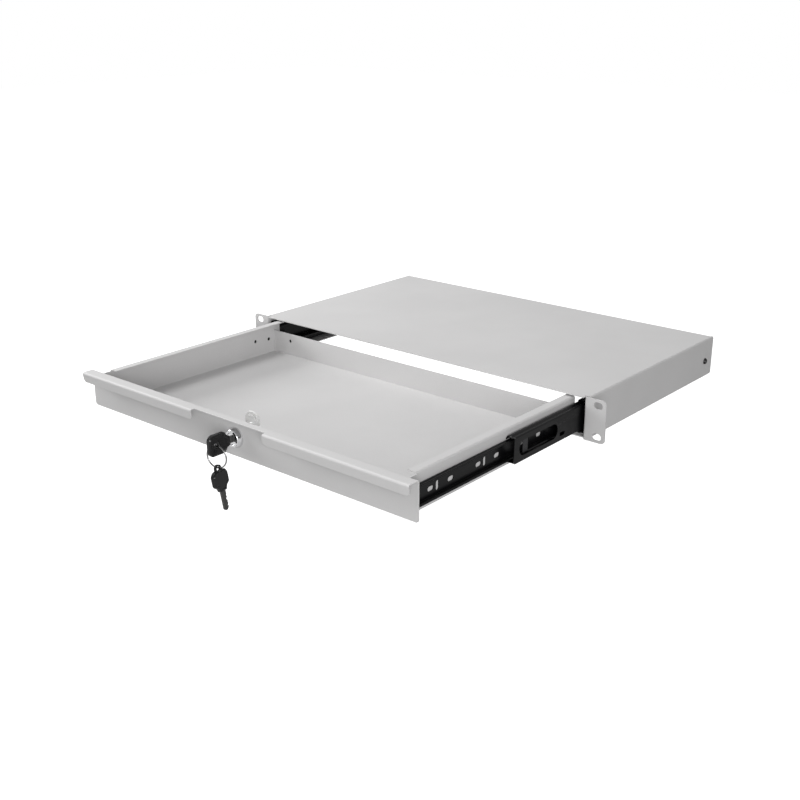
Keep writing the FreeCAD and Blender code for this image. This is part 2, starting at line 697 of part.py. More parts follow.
def make_bracket(side):
    """A slotted rack ear with a leg bent back along the side wall, which carries the slide."""
    body = new_body(f"{side_name(side)}_ear_bracket")
    mid_bend = S.bend_radius + S.bracket_sheet / 2
    leg_end = shell_depth - S.bracket_rear_inset
    ear_flat = S.ear_span / 2 - slide_seat - S.bracket_sheet / 2 - mid_bend
    moves = [line(ear_flat), bend(mid_bend, -90.0), line(leg_end - S.bend_radius)]
    ear_start = (S.ear_span / 2, -S.bracket_sheet / 2)
    right, left = both_sides(ear_start, 180.0, moves, S.bracket_sheet)
    pad(body, "ear_and_leg", "XY", -S.ear_height / 2, S.ear_height, right if side > 0 else left)
    ear_end = (S.ear_span / 2).value
    fillet(body, "ear_corners", S.ear_corner,
           lambda e: runs_along(e, 1) and near(abs(e.Vertexes[0].X), ear_end))

    leg_top = cover_inner - S.bracket_drop
    past = S.ear_height / 2 + S.bracket_sheet
    near_x, far_x = sorted((side * slide_seat, side * S.ear_span / 2), key=lambda x: x.value)
    waste = [rectangle(near_x, leg_top, far_x, past), rectangle(near_x, -past, far_x, -leg_top)]
    pocket(body, "leg_edges", "XZ", 0.0, leg_end, *waste)
    slot_x = S.ear_span / 2 - S.slot_inset
    slots = [slot(side * slot_x, z, S.ear_slot_length, S.ear_slot_width)
             for z in (-S.slot_pitch_z / 2, S.slot_pitch_z / 2)]
    pocket(body, "rack_slots", "XZ", -S.bracket_sheet, S.bracket_sheet, *slots)
    screws = [circle(y, S.fixing_level, screw_holes) for y in wall_fixings]
    pocket(body, "screw_holes", "YZ", *across(side, -S.bracket_sheet, 0.0), *screws)


def make_spacers():
    """Round spacers on the housing screws, between the side walls and the brackets."""
    spacers = []
    length = wall_inner - slide_seat - S.bracket_sheet
    for side in (-1, 1):
        for y in wall_fixings:
            name = f"{side_name(side)}_spacer"
            at = (side * (slide_seat + S.bracket_sheet), y, S.fixing_level)
            turn = 90.0 * side
            ring = DOC.addObject("Part::Cut", name)
            ring.Base = cylinder(f"{name}_outside", S.spacer_radius, length, at, Y_AXIS, turn)
            ring.Tool = cylinder(f"{name}_hole", screw_holes, length, at, Y_AXIS, turn)
            spacers.append(ring)
    group("slide_spacers", spacers)


def rail_starts():
    """Front edges of the two cross rails."""
    return {"front": keeper_front, "rear": shell_depth - S.rear_rail_inset - S.rail_depth}


def rivet_places():
    """Where rivets hold the cross rails to the bottom flanges."""
    x_inner = shell_half - S.bottom_flange / 2
    places = []
    for start in rail_starts().values():
        middle = start + S.rail_depth / 2 + S.bend_radius
        for y in (middle - S.rivet_pitch / 2, middle + S.rivet_pitch / 2):
            places.append((-x_inner, y))
            places.append((x_inner, y))
    return places


def make_cross_rail(name, lip_top):
    """A flat rail on the bottom flanges with a lip turned up along its front edge."""
    body = new_body(f"{name}_cross_rail")
    start = rail_starts()[name]
    rail_bend = S.bend_radius + S.rail_sheet / 2
    rail_turn = S.bend_radius + S.rail_sheet
    rail_under = shell_bottom + S.shell_sheet
    moves = [
        line(lip_top - rail_under - rail_turn),
        bend(rail_bend, 90.0),
        line(S.rail_depth - rail_turn),
    ]
    section = strip((start + S.rail_sheet / 2, lip_top), -90.0, moves, S.rail_sheet)
    lip_half = tray_half - S.rail_lip_gap
    pad(body, "rail", "YZ", -lip_half, 2 * lip_half, section)
    half = slide_seat - S.rail_end_gap
    rail_top = rail_under + S.rail_sheet
    flat = rectangle(start + rail_turn, rail_under, start + S.rail_depth, rail_top)
    pad(body, "ends", "YZ", -half, 2 * half, flat)
    holes = [circle(x, y, S.rivet_radius) for x, y in rivet_places()
             if start.value < y.value < (start + S.rail_depth).value]
    pocket(body, "rivet_holes", "XY", rail_under, S.rail_sheet, *holes)


def cylinder(name, radius, height, at, axis, turn):
    """A Part cylinder whose base stands at `at`, turned about an axis."""
    solid = DOC.addObject("Part::Cylinder", name)
    bind(solid, "Radius", radius)
    bind(solid, "Height", height)
    solid.Placement = Placement(Vector(), Rotation(axis, turn))
    for letter, length in zip("xyz", at):
        bind(solid, f"Placement.Base.{letter}", length)
    return solid


def group(label, members):
    """Equal loose solids as one node."""
    compound = DOC.addObject("Part::Compound", label)
    compound.Links = members
    return keep(compound, label)


def fuse(name, members):
    joined = DOC.addObject("Part::MultiFuse", name)
    joined.Shapes = members
    return joined


def make_rivets():
    rivets = []
    grip = S.shell_sheet + S.rail_sheet
    sections = [
        ("shank", S.rivet_radius, grip, shell_bottom),
        ("foot", S.rivet_head_radius, S.rivet_head_height, shell_bottom - S.rivet_head_height),
        ("head", S.rivet_head_radius, S.rivet_head_height, shell_bottom + grip),
    ]
    for number, (x, y) in enumerate(rivet_places(), start=1):
        members = [cylinder(f"rivet_{number}_{name}", radius, height, (x, y, z), Z_AXIS, 0)
                   for name, radius, height, z in sections]
        rivets.append(fuse(f"rivet_{number}", members))
    group("rail_rivets", rivets)


# ---------------------------------------------------------------------------
# Drawer: tray and front panel
# ---------------------------------------------------------------------------

def make_tray():
    """Floor, side walls and back wall, with flanges along the tops of the side walls."""
    body = new_body("drawer_tray")
    height = wall_top - floor_under
    start = (S.tray_flange - tray_half, wall_top - S.tray_sheet / 2)
    turn = bend(tray_bend, 90.0)
    flange = line(S.tray_flange - tray_turn)
    wall = line(height - 2 * tray_turn)
    floor = line(2 * tray_half - 2 * tray_turn)
    moves = [flange, turn, wall, turn, floor, turn, wall, turn, flange]
    section = strip(start, 180.0, moves, S.tray_sheet)
    pad(body, "channel", "XZ", panel_back, tray_depth, section)
    above = rectangle(-tray_half, wall_top - tray_turn, tray_half, wall_top)
    pocket(body, "flange_notches", "XZ", panel_back, S.flange_notch, above)

    back_top = floor_under + S.back_height
    low = floor_top - S.tray_sheet / 2
    back_wall = rectangle(-tray_wall_inner, low, tray_wall_inner, back_top)
    pad(body, "back_wall", "XZ", back_wall_at, S.tray_sheet, back_wall)
    front_top = floor_under + S.front_flange
    inner = S.front_flange_gap / 2
    outer = tray_half - tray_turn
    edges = [rectangle(-outer, low, -inner, front_top), rectangle(inner, low, outer, front_top)]
    pad(body, "front_edges", "XZ", panel_back, S.tray_sheet, *edges)

    cam_middle = cam_front + S.cam_sheet / 2
    slot_half = S.cam_slot_width / 2
    slot_front = cam_middle - S.cam_slot_depth / 2
    slot_back = cam_middle + S.cam_slot_depth / 2
    cam_slot = rectangle(-slot_half, slot_front, slot_half, slot_back, S.cam_slot_depth / 4)
    pocket(body, "cam_slot", "XY", floor_under, S.tray_sheet, cam_slot)
    side_level = floor_under + S.side_hole_level
    side_holes = [circle(y, S.tray_fixing_level, screw_holes) for y in tray_fixings]
    side_holes.append(circle(tray_back - S.side_hole_inset, side_level, S.tray_hole_radius))
    pocket(body, "side_holes_left", "YZ", -tray_half, S.tray_sheet, *side_holes)
    pocket(body, "side_holes_right", "YZ", tray_wall_inner, S.tray_sheet, *side_holes)
    level = floor_under + S.back_hole_level
    hole_x = tray_wall_inner - S.back_hole_inset
    holes = [circle(x, level, S.tray_hole_radius) for x in (-hole_x, hole_x)]
    pocket(body, "back_holes", "XZ", back_wall_at, S.tray_sheet, *holes)


def make_panel():
    """The front, with a handle lip bent forward from its top edge on each side."""
    body = new_body("front_panel")
    lip_root = panel_top - panel_turn
    face = [
        (-panel_half, panel_bottom), (panel_half, panel_bottom),
        (panel_half, lip_root), (S.lip_inner_end, lip_root),
        (S.lip_inner_end, panel_top), (-S.lip_inner_end, panel_top),
        (-S.lip_inner_end, lip_root), (-panel_half, lip_root),
    ]
    pad(body, "face", "XZ", panel_front, S.panel_sheet, polygon(face))
    fillet(body, "face_corners", S.panel_corner,
           lambda e: runs_along(e, 1) and near(e.Vertexes[0].Z, panel_bottom))

    moves = [
        bend(panel_bend, 90.0), line(S.lip_reach - 2 * panel_bend),
        bend(panel_bend, 90.0), line(S.lip_drop - panel_turn),
    ]
    lip = strip((panel_front + S.panel_sheet / 2, lip_root), 90.0, moves, S.panel_sheet)
    lip_length = panel_half - S.lip_inner_end
    pad(body, "left_lip", "YZ", -panel_half, lip_length, lip)
    pad(body, "right_lip", "YZ", S.lip_inner_end, lip_length, lip)
    lip_bottom = panel_top - S.lip_drop
    fillet(body, "lip_corners", S.lip_corner,
           lambda e: runs_along(e, 1) and near(e.Vertexes[0].Z, lip_bottom))
    hole = circle(0, S.lock_level, S.barrel_radius + S.panel_hole_clearance)
    pocket(body, "lock_hole", "XZ", panel_front, S.panel_sheet, hole)


# ---------------------------------------------------------------------------
# Ball-bearing slides
# ---------------------------------------------------------------------------

def place_u(side, u):
    """x of a point u from the bracket's leg; side is -1 on the left and 1 on the right."""
    return side * (slide_seat - u)


def channel(side, web, upper_half):
    """A slide section symmetric about its centre line, from the moves of its upper half."""
    _, tip, heading = walk((web, 0.0), 90.0, upper_half)
    rise, bends = upper_half[0][1], upper_half[1:]
    moves = bends[::-1] + [line(2 * rise)] + bends
    section = strip((tip[0], -tip[1]), 180.0 - heading, moves, S.slide_sheet)
    return [to_side(edge, side) for edge in section]


def to_side(edge, side):
    """Move an edge from u, v to x, z; on the right side that mirrors it."""
    ends = (edge.start, edge.end, edge.centre)
    start, end, centre = [(place_u(side, p[0]), p[1]) if p else None for p in ends]
    left_turn = edge.left_turn if side < 0 else not edge.left_turn
    return Edge(start, end, centre, left_turn)


def side_name(side):
    return "left" if side < 0 else "right"


def across(side, u_low, u_high):
    """Start and length along x of a cut from u_low to u_high."""
    start = place_u(side, u_high if side > 0 else u_low)
    return start, as_dim(u_high) - as_dim(u_low)


def slide_body(name, side, start):
    return new_body(f"{side_name(side)}_{name}", (0, start, S.slide_level))


def make_outer_member(side):
    """Channel fixed to the bracket; its edges curl over the outer balls."""
    body = slide_body("outer_member", side, S.slide_inset)
    web = S.slide_sheet / 2
    shelf = outer_ball_v + RACE_SIN * (race + S.race_shoulder) - S.race_shoulder
    reach = outer_ball_u - RACE_COS * (race + S.race_shoulder) - web - S.outer_corner
    half = [
        line(shelf - S.outer_corner),
        bend(S.outer_corner, -90.0),
        line(reach),
        bend(S.race_shoulder, 90.0 - RACE_ANGLE),
        bend(race, -(90.0 + RACE_ANGLE)),
    ]
    pad(body, "section", "XZ", 0.0, slide_length, channel(side, web, half))
    level = S.fixing_level - S.slide_level
    holes = [circle(y - S.slide_inset, level, screw_holes) for y in wall_fixings]
    for share in OUTER_SLOT_SHARES:
        place = slide_length * share
        holes.append(slot(place, 0.0, S.access_slot_length, S.access_slot_width))
    pocket(body, "holes", "YZ", *across(side, 0.0, S.slide_sheet), *holes)


def make_middle_member(side):
    """Channel inside the outer one: a race under the outer balls, then one over the inner."""
    body = slide_body("middle_member", side, middle_start)
    half = [
        line(outer_ball_v - RACE_SIN * (race + S.race_shoulder)),
        bend(S.race_shoulder, RACE_ANGLE - 180.0),
        bend(race, 180.0 - 2 * RACE_ANGLE),
        bend(race, -(90.0 + RACE_ANGLE)),
    ]
    pad(body, "section", "XZ", 0.0, middle_length, channel(side, middle_web, half))
    web_cut = across(side, middle_web - S.slide_sheet, middle_web + S.slide_sheet)
    window_middle = S.window_inset + S.window_length / 2
    window = slot(window_middle, 0.0, S.window_length, S.window_height)
    catch_place = S.window_inset + S.window_length + S.catch_hole_gap
    catch_hole = slot(catch_place, -S.catch_hole_drop, S.catch_hole_length, S.catch_hole_width)
    rear_slots = [slot(middle_length * share, 0.0, S.web_slot_length, S.web_slot_width)
                  for share in MIDDLE_SLOT_SHARES]
    pocket(body, "web_openings", "YZ", *web_cut, window, catch_hole, *rear_slots)
    top = inner_ball_v + race + S.slide_sheet / 2
    upper_nose = corner_waste(0.0, top, S.nose_radius, -1, 1)
    lower_nose = corner_waste(0.0, -top, S.nose_radius, -1, -1)
    noses = [upper_nose, lower_nose]
    pocket(body, "noses", "YZ", *across(side, 0.0, slide_thickness), *noses)


def make_drawer_member(side):
    """Smallest channel, open towards the housing, fixed to the drawer's side wall."""
    body = slide_body("drawer_member", side, panel_back)
    half = [
        line(inner_ball_v - RACE_SIN * (race + S.inner_corner)),
        bend(S.inner_corner, 180.0 - RACE_ANGLE),
        bend(race, -DRAWER_RACE_END),
    ]
    pad(body, "section", "XZ", 0.0, drawer_member_length, channel(side, drawer_web, half))
    openings = []
    for number in range(HOLE_GROUPS):
        first = S.hole_group_inset + number * S.hole_group_pitch
        for place in (first, first + S.oval_hole_step):
            openings.append(slot(place, S.hole_row_rise, S.oval_hole_length, S.oval_hole_width))
        tall_place = first + S.tall_hole_step
        tall_hole = slot(tall_place, S.hole_row_rise, S.tall_hole_length, S.tall_hole_width, 90.0)
        openings.append(tall_hole)
    level = S.tray_fixing_level - S.slide_level
    openings += [circle(y - panel_back, level, screw_holes) for y in tray_fixings]
    web_cut = across(side, drawer_web - S.slide_sheet / 2, slide_thickness)
    pocket(body, "holes", "YZ", *web_cut, *openings)


def make_cage(name, side, start, length, web, ball_u, ball_v):
    """A retainer strip whose two edges carry the balls, and the balls in its pockets."""
    body = slide_body(f"{name}_retainer", side, start)
    reach = ball_u + S.cage_ear - web
    edge_bend = S.cage_sheet
    moves = [
        line(reach - edge_bend), bend(edge_bend, -90.0),
        line(2 * ball_v - 2 * edge_bend),
        bend(edge_bend, -90.0), line(reach - edge_bend),
    ]
    section = strip((ball_u + S.cage_ear, -ball_v), 180.0, moves, S.cage_sheet)
    pad(body, "strip", "XZ", 0.0, length, [to_side(edge, side) for edge in section])
    open_half = ball_v - S.cage_border
    opening = rectangle(S.cage_bridge, -open_half, length - S.cage_bridge, open_half, S.cage_border)
    pocket(body, "opening", "YZ", *across(side, web - S.cage_sheet, web + S.cage_sheet), opening)
    first = (length - (BALLS_PER_ROW - 1) * S.ball_pitch) / 2
    rows = [first + number * S.ball_pitch for number in range(BALLS_PER_ROW)]
    x = place_u(side, ball_u)
    pockets = [circle(x, y, S.ball_radius + S.pocket_clearance) for y in rows]
    half = ball_v + S.cage_sheet
    pocket(body, "pockets", "XY", -half, 2 * half, *pockets)

    balls = []
    for y in rows:
        for level in (-ball_v, ball_v):
            ball = DOC.addObject("Part::Sphere", f"{side_name(side)}_{name}_ball")
            bind(ball, "Radius", S.ball_radius)
            bind(ball, "Placement.Base.x", x)
            bind(ball, "Placement.Base.y", start + y)
            bind(ball, "Placement.Base.z", S.slide_level + level)
            balls.append(ball)
    group(f"{side_name(side)}_{name}_balls", balls)


def make_cages(side):
    outer_web = S.slide_sheet + S.web_gap / 2
    middle_end = middle_start + middle_length
    outer_overlap = (S.slide_inset + middle_end) / 2
    make_cage("outer", side, outer_overlap - S.outer_cage_length / 2, S.outer_cage_length,
              outer_web, outer_ball_u, outer_ball_v)
    tip_u = inner_ball_u - race - S.slide_sheet / 2
    inner_web = (middle_web + S.slide_sheet / 2 + tip_u) / 2
    member_end = panel_back + drawer_member_length
    inner_overlap = (middle_start + member_end) / 2
    make_cage("inner", side, inner_overlap - S.inner_cage_length / 2, S.inner_cage_length,
              inner_web, inner_ball_u, inner_ball_v)


def make_bumper(side):
    """Nylon block in the rear of the outer member that stops the closing middle one."""
    body = slide_body("slide_bumper", side, bumper_start)
    radius = S.bumper_length / 3
    low = S.fixing_level - S.slide_level + S.screw_radius + S.bumper_clearance
    block = rectangle(0.0, low, S.bumper_length, low + S.bumper_height, radius)
    pad(body, "block", "YZ", *across(side, S.slide_sheet, S.slide_sheet + S.bumper_width), block)


# ---------------------------------------------------------------------------
# Screws
# ---------------------------------------------------------------------------

def pan_screw(name, x_head, inward, y, z, length):
    """A pan-head screw along x, with its head's seat at x_head and its shank inward."""
    turn = 90.0 * inward
    shank = cylinder(f"{name}_shank", S.screw_radius, length, (x_head, y, z), Y_AXIS, turn)
    head = DOC.addObject("Part::Cone", f"{name}_head")
    bind(head, "Radius1", S.screw_head_radius)
    bind(head, "Radius2", S.screw_head_top)
    bind(head, "Height", S.screw_head_height)
    head.Placement = Placement(Vector(), Rotation(Y_AXIS, -turn))
    for letter, place in zip("xyz", (x_head, y, z)):
        bind(head, f"Placement.Base.{letter}", place)
    return fuse(name, [shank, head])


def make_screws():
    """Screws of the outer members, from outside, and of the drawer members, from within."""
    outside = []
    inside = []
    for side in (-1, 1):
        for y in wall_fixings:
            name = f"{side_name(side)}_wall_screw"
            length = shell_half - slide_seat + S.slide_sheet + S.screw_tip
            outside.append(pan_screw(name, side * shell_half, -side, y, S.fixing_level, length))
        for y in tray_fixings:
            name = f"{side_name(side)}_drawer_screw"
            length = S.slide_sheet + S.tray_sheet - S.tray_screw_recess
            seat = side * (tray_half + S.slide_sheet)
            inside.append(pan_screw(name, seat, -side, y, S.tray_fixing_level, length))
    group("housing_slide_screws", outside)
    group("drawer_slide_screws", inside)


# ---------------------------------------------------------------------------
# Cam lock
# ---------------------------------------------------------------------------

bezel_face = panel_front - S.bezel_height
plug_face = bezel_face + S.plug_recess
bore = S.plug_radius + S.plug_clearance


def make_barrel():
    """Bezel in front of the panel and threaded barrel through it, with the plug's bore."""
    body = new_body("lock_barrel", (0, 0, S.lock_level))
    rim = S.bezel_radius - S.bezel_slope
    profile = [
        (bezel_face, bore), (bezel_face, rim - S.bezel_edge), (bezel_face + S.bezel_edge, rim),
        (panel_front - S.bezel_foot, S.bezel_radius), (panel_front, S.bezel_radius),
        (panel_front, S.barrel_radius), (barrel_end - S.barrel_edge, S.barrel_radius),
        (barrel_end, S.barrel_radius - S.barrel_edge), (barrel_end, bore),
    ]
    turn_profile(body, "turned", profile)


def hexagon(radius):
    """Corners of a hexagon with two of its sides upright."""
    corners = []
    for number in range(6):
        angle = math.radians(60.0 * number + 30.0)
        corners.append((radius * math.cos(angle), radius * math.sin(angle)))
    return polygon(corners)


def make_nut(name, start, height, radius, hole):
    body = new_body(name, (0, 0, S.lock_level))
    pad(body, "hexagon", "XZ", start, height, hexagon(radius), circle(0, 0, hole))


def make_plug():
    """Turning plug with its keyway, and the square and threaded ends for the cam."""
    body = new_body("lock_plug", (0, 0, S.lock_level))
    profile = [
        (plug_face, 0.0), (plug_face, S.plug_radius - S.plug_edge),
        (plug_face + S.plug_edge, S.plug_radius), (barrel_end, S.plug_radius), (barrel_end, 0.0),
    ]
    turn_profile(body, "turned", profile)
    half = S.tang_size / 2
    tang_end = cam_back - S.tang_recess
    square = rectangle(-half, -half, half, half, S.tang_corner)
    pad(body, "tang", "XZ", barrel_end, tang_end - barrel_end, square)
    stud_end = cam_back + S.cam_nut_height + S.stud_end
    pad(body, "stud", "XZ", tang_end, stud_end - tang_end, circle(0, 0, S.stud_radius))
    wide = S.blade_thickness / 2 + S.keyway_clearance
    high = S.blade_height / 2 + S.keyway_clearance
    pocket(body, "keyway", "XZ", plug_face, S.keyway_depth, rectangle(-wide, -high, wide, high))


def make_cam():
    """Flat cam with a round head, turned up when the drawer is free to slide."""
    body = new_body("lock_cam", (0, 0, S.lock_level))
    below = S.cam_width / 2
    length = S.cam_reach + below
    outside = slot(0.0, length / 2 - below, length, S.cam_width, 90.0)
    half = S.tang_size / 2 + S.tang_clearance
    square = rectangle(-half, -half, half, half, S.tang_corner)
    head = S.cam_reach - S.cam_width / 2
    mark_radius = S.cam_width / 2 - S.cam_mark_inset
    mark = arc_slot((0.0, head), mark_radius, CAM_MARK_START, CAM_MARK_SWEEP, S.cam_mark_width)
    pad(body, "plate", "XZ", cam_front, S.cam_sheet, outside, square, mark)


def arc_slot(centre, radius, angle, sweep, width):
    """A round-ended slot along an arc that starts at `angle` and turns left by `sweep`."""
    half = as_dim(width) / 2
    outer = as_dim(radius) + half
    inner = as_dim(radius) - half
    start = moved((as_dim(centre[0]), as_dim(centre[1])), outer, angle)
    moves = [bend(outer, sweep), bend(half, 180.0), bend(inner, -sweep), bend(half, 180.0)]
    return outline(start, angle + 90.0, moves)


# ---------------------------------------------------------------------------
# Keys and ring
# ---------------------------------------------------------------------------

def blade_outline(edge):
    """A key blade's side: a pointed tip and one row of cuts in its upper edge."""
    tip = S.blade_length
    tip_slope = edge * 0.75
    pitch = S.blade_length / (len(KEY_CUTS) + 2)
    shape = [(-S.blade_root, -edge), (tip - edge / 2, -edge), (tip, -edge / 2),
             (tip, edge - tip_slope), (tip - tip_slope, edge)]
    half_flat = S.blade_cut_flat / 2
    first = tip - tip_slope - S.blade_cut_flat - KEY_CUTS[0]
    for number, depth in enumerate(KEY_CUTS):
        centre = first - pitch * number
        shape.append((centre + half_flat + depth, edge))
        shape.append((centre + half_flat, edge - depth))
        shape.append((centre - half_flat, edge - depth))
        shape.append((centre - half_flat - depth, edge))
    shape.append((-S.blade_root, edge))
    return polygon(shape)


def make_key(prefix, at, turn, tabbed):
    """A key along its own y axis: the blade towards +y, the head towards -y.

    `turn` is its Rotation.  A tabbed head carries its hole in a tab.
    """
    blade = new_body(f"{prefix}_blade", at)
    head = new_body(f"{prefix}_head", at)
    for body in (blade, head):
        body.Placement = Placement(body.Placement.Base, turn)
        for letter, length in zip("xyz", at):
            bind(body, f"Placement.Base.{letter}", length)

    edge = S.blade_height / 2
    half_blade = S.blade_thickness / 2
    pad(blade, "blade", "YZ", -half_blade, S.blade_thickness, blade_outline(edge))

    collar = S.collar_width / 2
    wide = S.head_width / 2
    cut = S.head_cut
    far = -S.spare_head_length if tabbed else -S.head_length
    upper = [(0.0, collar), (-S.collar_length, collar), (-S.collar_length - cut, wide),
             (far + cut, wide), (far, wide - cut)]
    lower = [(y, -z) for y, z in reversed(upper)]
    half_head = S.head_thickness / 2
    pad(head, "head", "YZ", -half_head, S.head_thickness, polygon(upper + lower))
    chamfer(head, "bevel", S.head_bevel,
            lambda e: near(abs(e.Vertexes[0].X), half_head) and near(abs(e.Vertexes[-1].X), half_head))
    hole_y = -S.tab_reach if tabbed else -S.ring_hole_inset
    if tabbed:
        tab_half = S.head_thickness / 4
        tab = slot(hole_y + S.tab_root / 2, 0.0, 2 * S.tab_radius + S.tab_root, 2 * S.tab_radius)
        pad(head, "tab", "YZ", -tab_half, 2 * tab_half, tab)
    hole = circle(hole_y, 0.0, S.ring_hole_radius)
    pocket(head, "ring_hole", "YZ", -half_head, S.head_thickness, hole)
    root = rectangle(-half_blade, -edge, half_blade, edge)
    pocket(head, "blade_seat", "XZ", -S.blade_root, S.blade_root, root)


def make_keys():
    """One key in the lock, the ring through its hole, and a second key on the ring."""
    key_y = bezel_face - S.key_gap
    make_key("lock_key", (0, key_y, S.lock_level), Rotation(), False)

    hang = S.ring_hole_radius - S.ring_wire - S.ring_slack
    ring_y = key_y - S.ring_hole_inset
    ring_top = S.lock_level - hang
    ring = DOC.addObject("Part::Torus", "key_ring")
    bind(ring, "Radius1", S.ring_radius)
    bind(ring, "Radius2", S.ring_wire)
    ring_turn = Rotation(Z_AXIS, RING_TURN)
    ring.Placement = Placement(Vector(), ring_turn * Rotation(Vector(1, 0, 0), 90.0))
    for letter, length in zip("xyz", (0, ring_y, ring_top - S.ring_radius)):
        bind(ring, f"Placement.Base.{letter}", length)
    keep(ring, "key_ring")

    hanging = Rotation(Vector(1, 0, 0), -90.0)
    turn = ring_turn * Rotation(Y_AXIS, -SECOND_KEY_LEAN) * hanging
    down = turn.multVec(Y_AXIS)
    from_ring = hang + S.tab_reach
    ring_bottom = ring_top - 2 * S.ring_radius
    spare_at = (down.x * from_ring, ring_y + down.y * from_ring, ring_bottom + down.z * from_ring)
    make_key("spare_key", spare_at, turn, True)


# ---------------------------------------------------------------------------
# Build, check and write
# ---------------------------------------------------------------------------

def build():
    make_shell()
    make_bracket(-1)
    make_bracket(1)
    make_spacers()
    make_cross_rail("front", keeper_top)
    make_cross_rail("rear", shell_bottom + S.shell_sheet + S.rear_rail_lip)
    make_rivets()
    make_tray()
    make_panel()
    for side in (-1, 1):
        make_outer_member(side)
        make_middle_member(side)
        make_drawer_member(side)
        make_cages(side)
        make_bumper(side)
    make_screws()
    make_barrel()
    make_nut("lock_nut", panel_back, S.nut_height, S.nut_radius, S.barrel_radius)
    make_plug()
    make_cam()
    make_nut("cam_nut", cam_back, S.cam_nut_height, S.cam_nut_radius, S.stud_radius)
    make_keys()
    DOC.recompute()


def check():
    for obj in DOC.Objects:
        if "Invalid" in obj.State or "Error" in obj.State:
            raise ValueError(f"{obj.Label}: {obj.State}")
    for node in NODES:
        if node.Shape.isNull() or not node.Shape.isValid():
            raise ValueError(f"{node.Label} has no valid shape")


def write():
    os.makedirs("parts", exist_ok=True)
    for node in NODES:
        node.Shape.exportStep(f"parts/{node.Label}.step")


build()
check()
write()
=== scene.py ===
"""Dresses a 1U sliding rack drawer: painted sheet, ball-bearing slides, cam lock, keys.

The frame is in metres: +X to the right seen from the front, +Y to the rear, +Z up.  The
drawer is open, towards -Y, and the lock's axis runs along Y.
"""

import json
import math

import bmesh
import bpy
from mathutils import Matrix, Vector

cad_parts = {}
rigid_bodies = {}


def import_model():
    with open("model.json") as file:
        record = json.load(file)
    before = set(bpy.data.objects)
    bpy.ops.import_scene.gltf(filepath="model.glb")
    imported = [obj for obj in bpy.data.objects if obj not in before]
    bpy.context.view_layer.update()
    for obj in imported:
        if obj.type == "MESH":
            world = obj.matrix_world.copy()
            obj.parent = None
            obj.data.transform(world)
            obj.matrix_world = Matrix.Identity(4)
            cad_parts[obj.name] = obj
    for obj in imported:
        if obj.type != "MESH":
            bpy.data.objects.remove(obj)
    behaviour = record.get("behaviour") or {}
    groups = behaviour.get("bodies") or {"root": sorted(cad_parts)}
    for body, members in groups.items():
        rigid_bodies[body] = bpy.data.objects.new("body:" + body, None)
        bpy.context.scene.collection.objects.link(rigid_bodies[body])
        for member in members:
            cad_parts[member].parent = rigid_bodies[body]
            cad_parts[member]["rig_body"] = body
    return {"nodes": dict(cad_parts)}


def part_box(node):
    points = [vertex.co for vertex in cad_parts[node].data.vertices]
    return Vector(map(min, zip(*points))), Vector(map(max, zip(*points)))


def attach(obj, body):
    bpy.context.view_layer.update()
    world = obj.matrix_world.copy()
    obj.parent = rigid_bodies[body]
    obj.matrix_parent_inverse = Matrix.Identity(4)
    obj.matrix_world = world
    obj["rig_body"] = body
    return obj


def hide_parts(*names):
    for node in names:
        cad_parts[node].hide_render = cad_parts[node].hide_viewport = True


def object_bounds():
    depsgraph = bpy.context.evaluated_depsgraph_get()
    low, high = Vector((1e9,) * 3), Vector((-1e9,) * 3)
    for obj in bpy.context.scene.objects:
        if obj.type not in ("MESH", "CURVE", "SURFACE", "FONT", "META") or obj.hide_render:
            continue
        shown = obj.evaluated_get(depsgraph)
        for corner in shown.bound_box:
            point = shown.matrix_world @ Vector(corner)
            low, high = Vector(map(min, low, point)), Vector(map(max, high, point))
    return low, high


bl_info = {
    "name": "Sliding Rack Drawer",
    "version": (1, 0, 0),
    "blender": (4, 5, 0),
    "location": "3D View > Sidebar > Rack Drawer",
    "description": "Builds the finished pieces and materials of a lockable 1U rack drawer",
    "category": "Add Mesh",
}

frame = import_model()
CAD_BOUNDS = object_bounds()

MM = 0.001
X_AXIS = Vector((1, 0, 0))
Z_AXIS = Vector((0, 0, 1))
WHITE = (1.0, 1.0, 1.0, 1.0)
SIDES = ("left", "right")


# ---------------------------------------------------------------------------
# Sizes and colours that a user would change
# ---------------------------------------------------------------------------

class RACKDRAWER_PG_paint(bpy.types.PropertyGroup):
    colour: bpy.props.FloatVectorProperty(
        name="Powder Coat", description="Colour of the painted sheet metal",
        subtype="COLOR", size=3, min=0.0, max=1.0, default=(0.615, 0.61, 0.61))
    peel_size: bpy.props.FloatProperty(
        name="Peel Size", description="Distance between the humps of the powder coat",
        default=0.0011, min=0.0002, max=0.01, unit="LENGTH")
    edge_radius: bpy.props.FloatProperty(
        name="Edge Radius", description="Rounding that the coat gives to cut edges",
        default=0.00022, min=0.00005, max=0.0005, unit="LENGTH")


class RACKDRAWER_PG_metal(bpy.types.PropertyGroup):
    slide_colour: bpy.props.FloatVectorProperty(
        name="Slide Finish", description="Colour of the black coated slides",
        subtype="COLOR", size=3, min=0.0, max=1.0, default=(0.003, 0.003, 0.0035))
    edge_radius: bpy.props.FloatProperty(
        name="Edge Radius", description="Rounding of stamped edges",
        default=0.00012, min=0.00002, max=0.0003, unit="LENGTH")


class RACKDRAWER_PG_keys(bpy.types.PropertyGroup):
    head_colour: bpy.props.FloatVectorProperty(
        name="Key Head", description="Colour of the moulded key heads",
        subtype="COLOR", size=3, min=0.0, max=1.0, default=(0.005, 0.005, 0.0055))


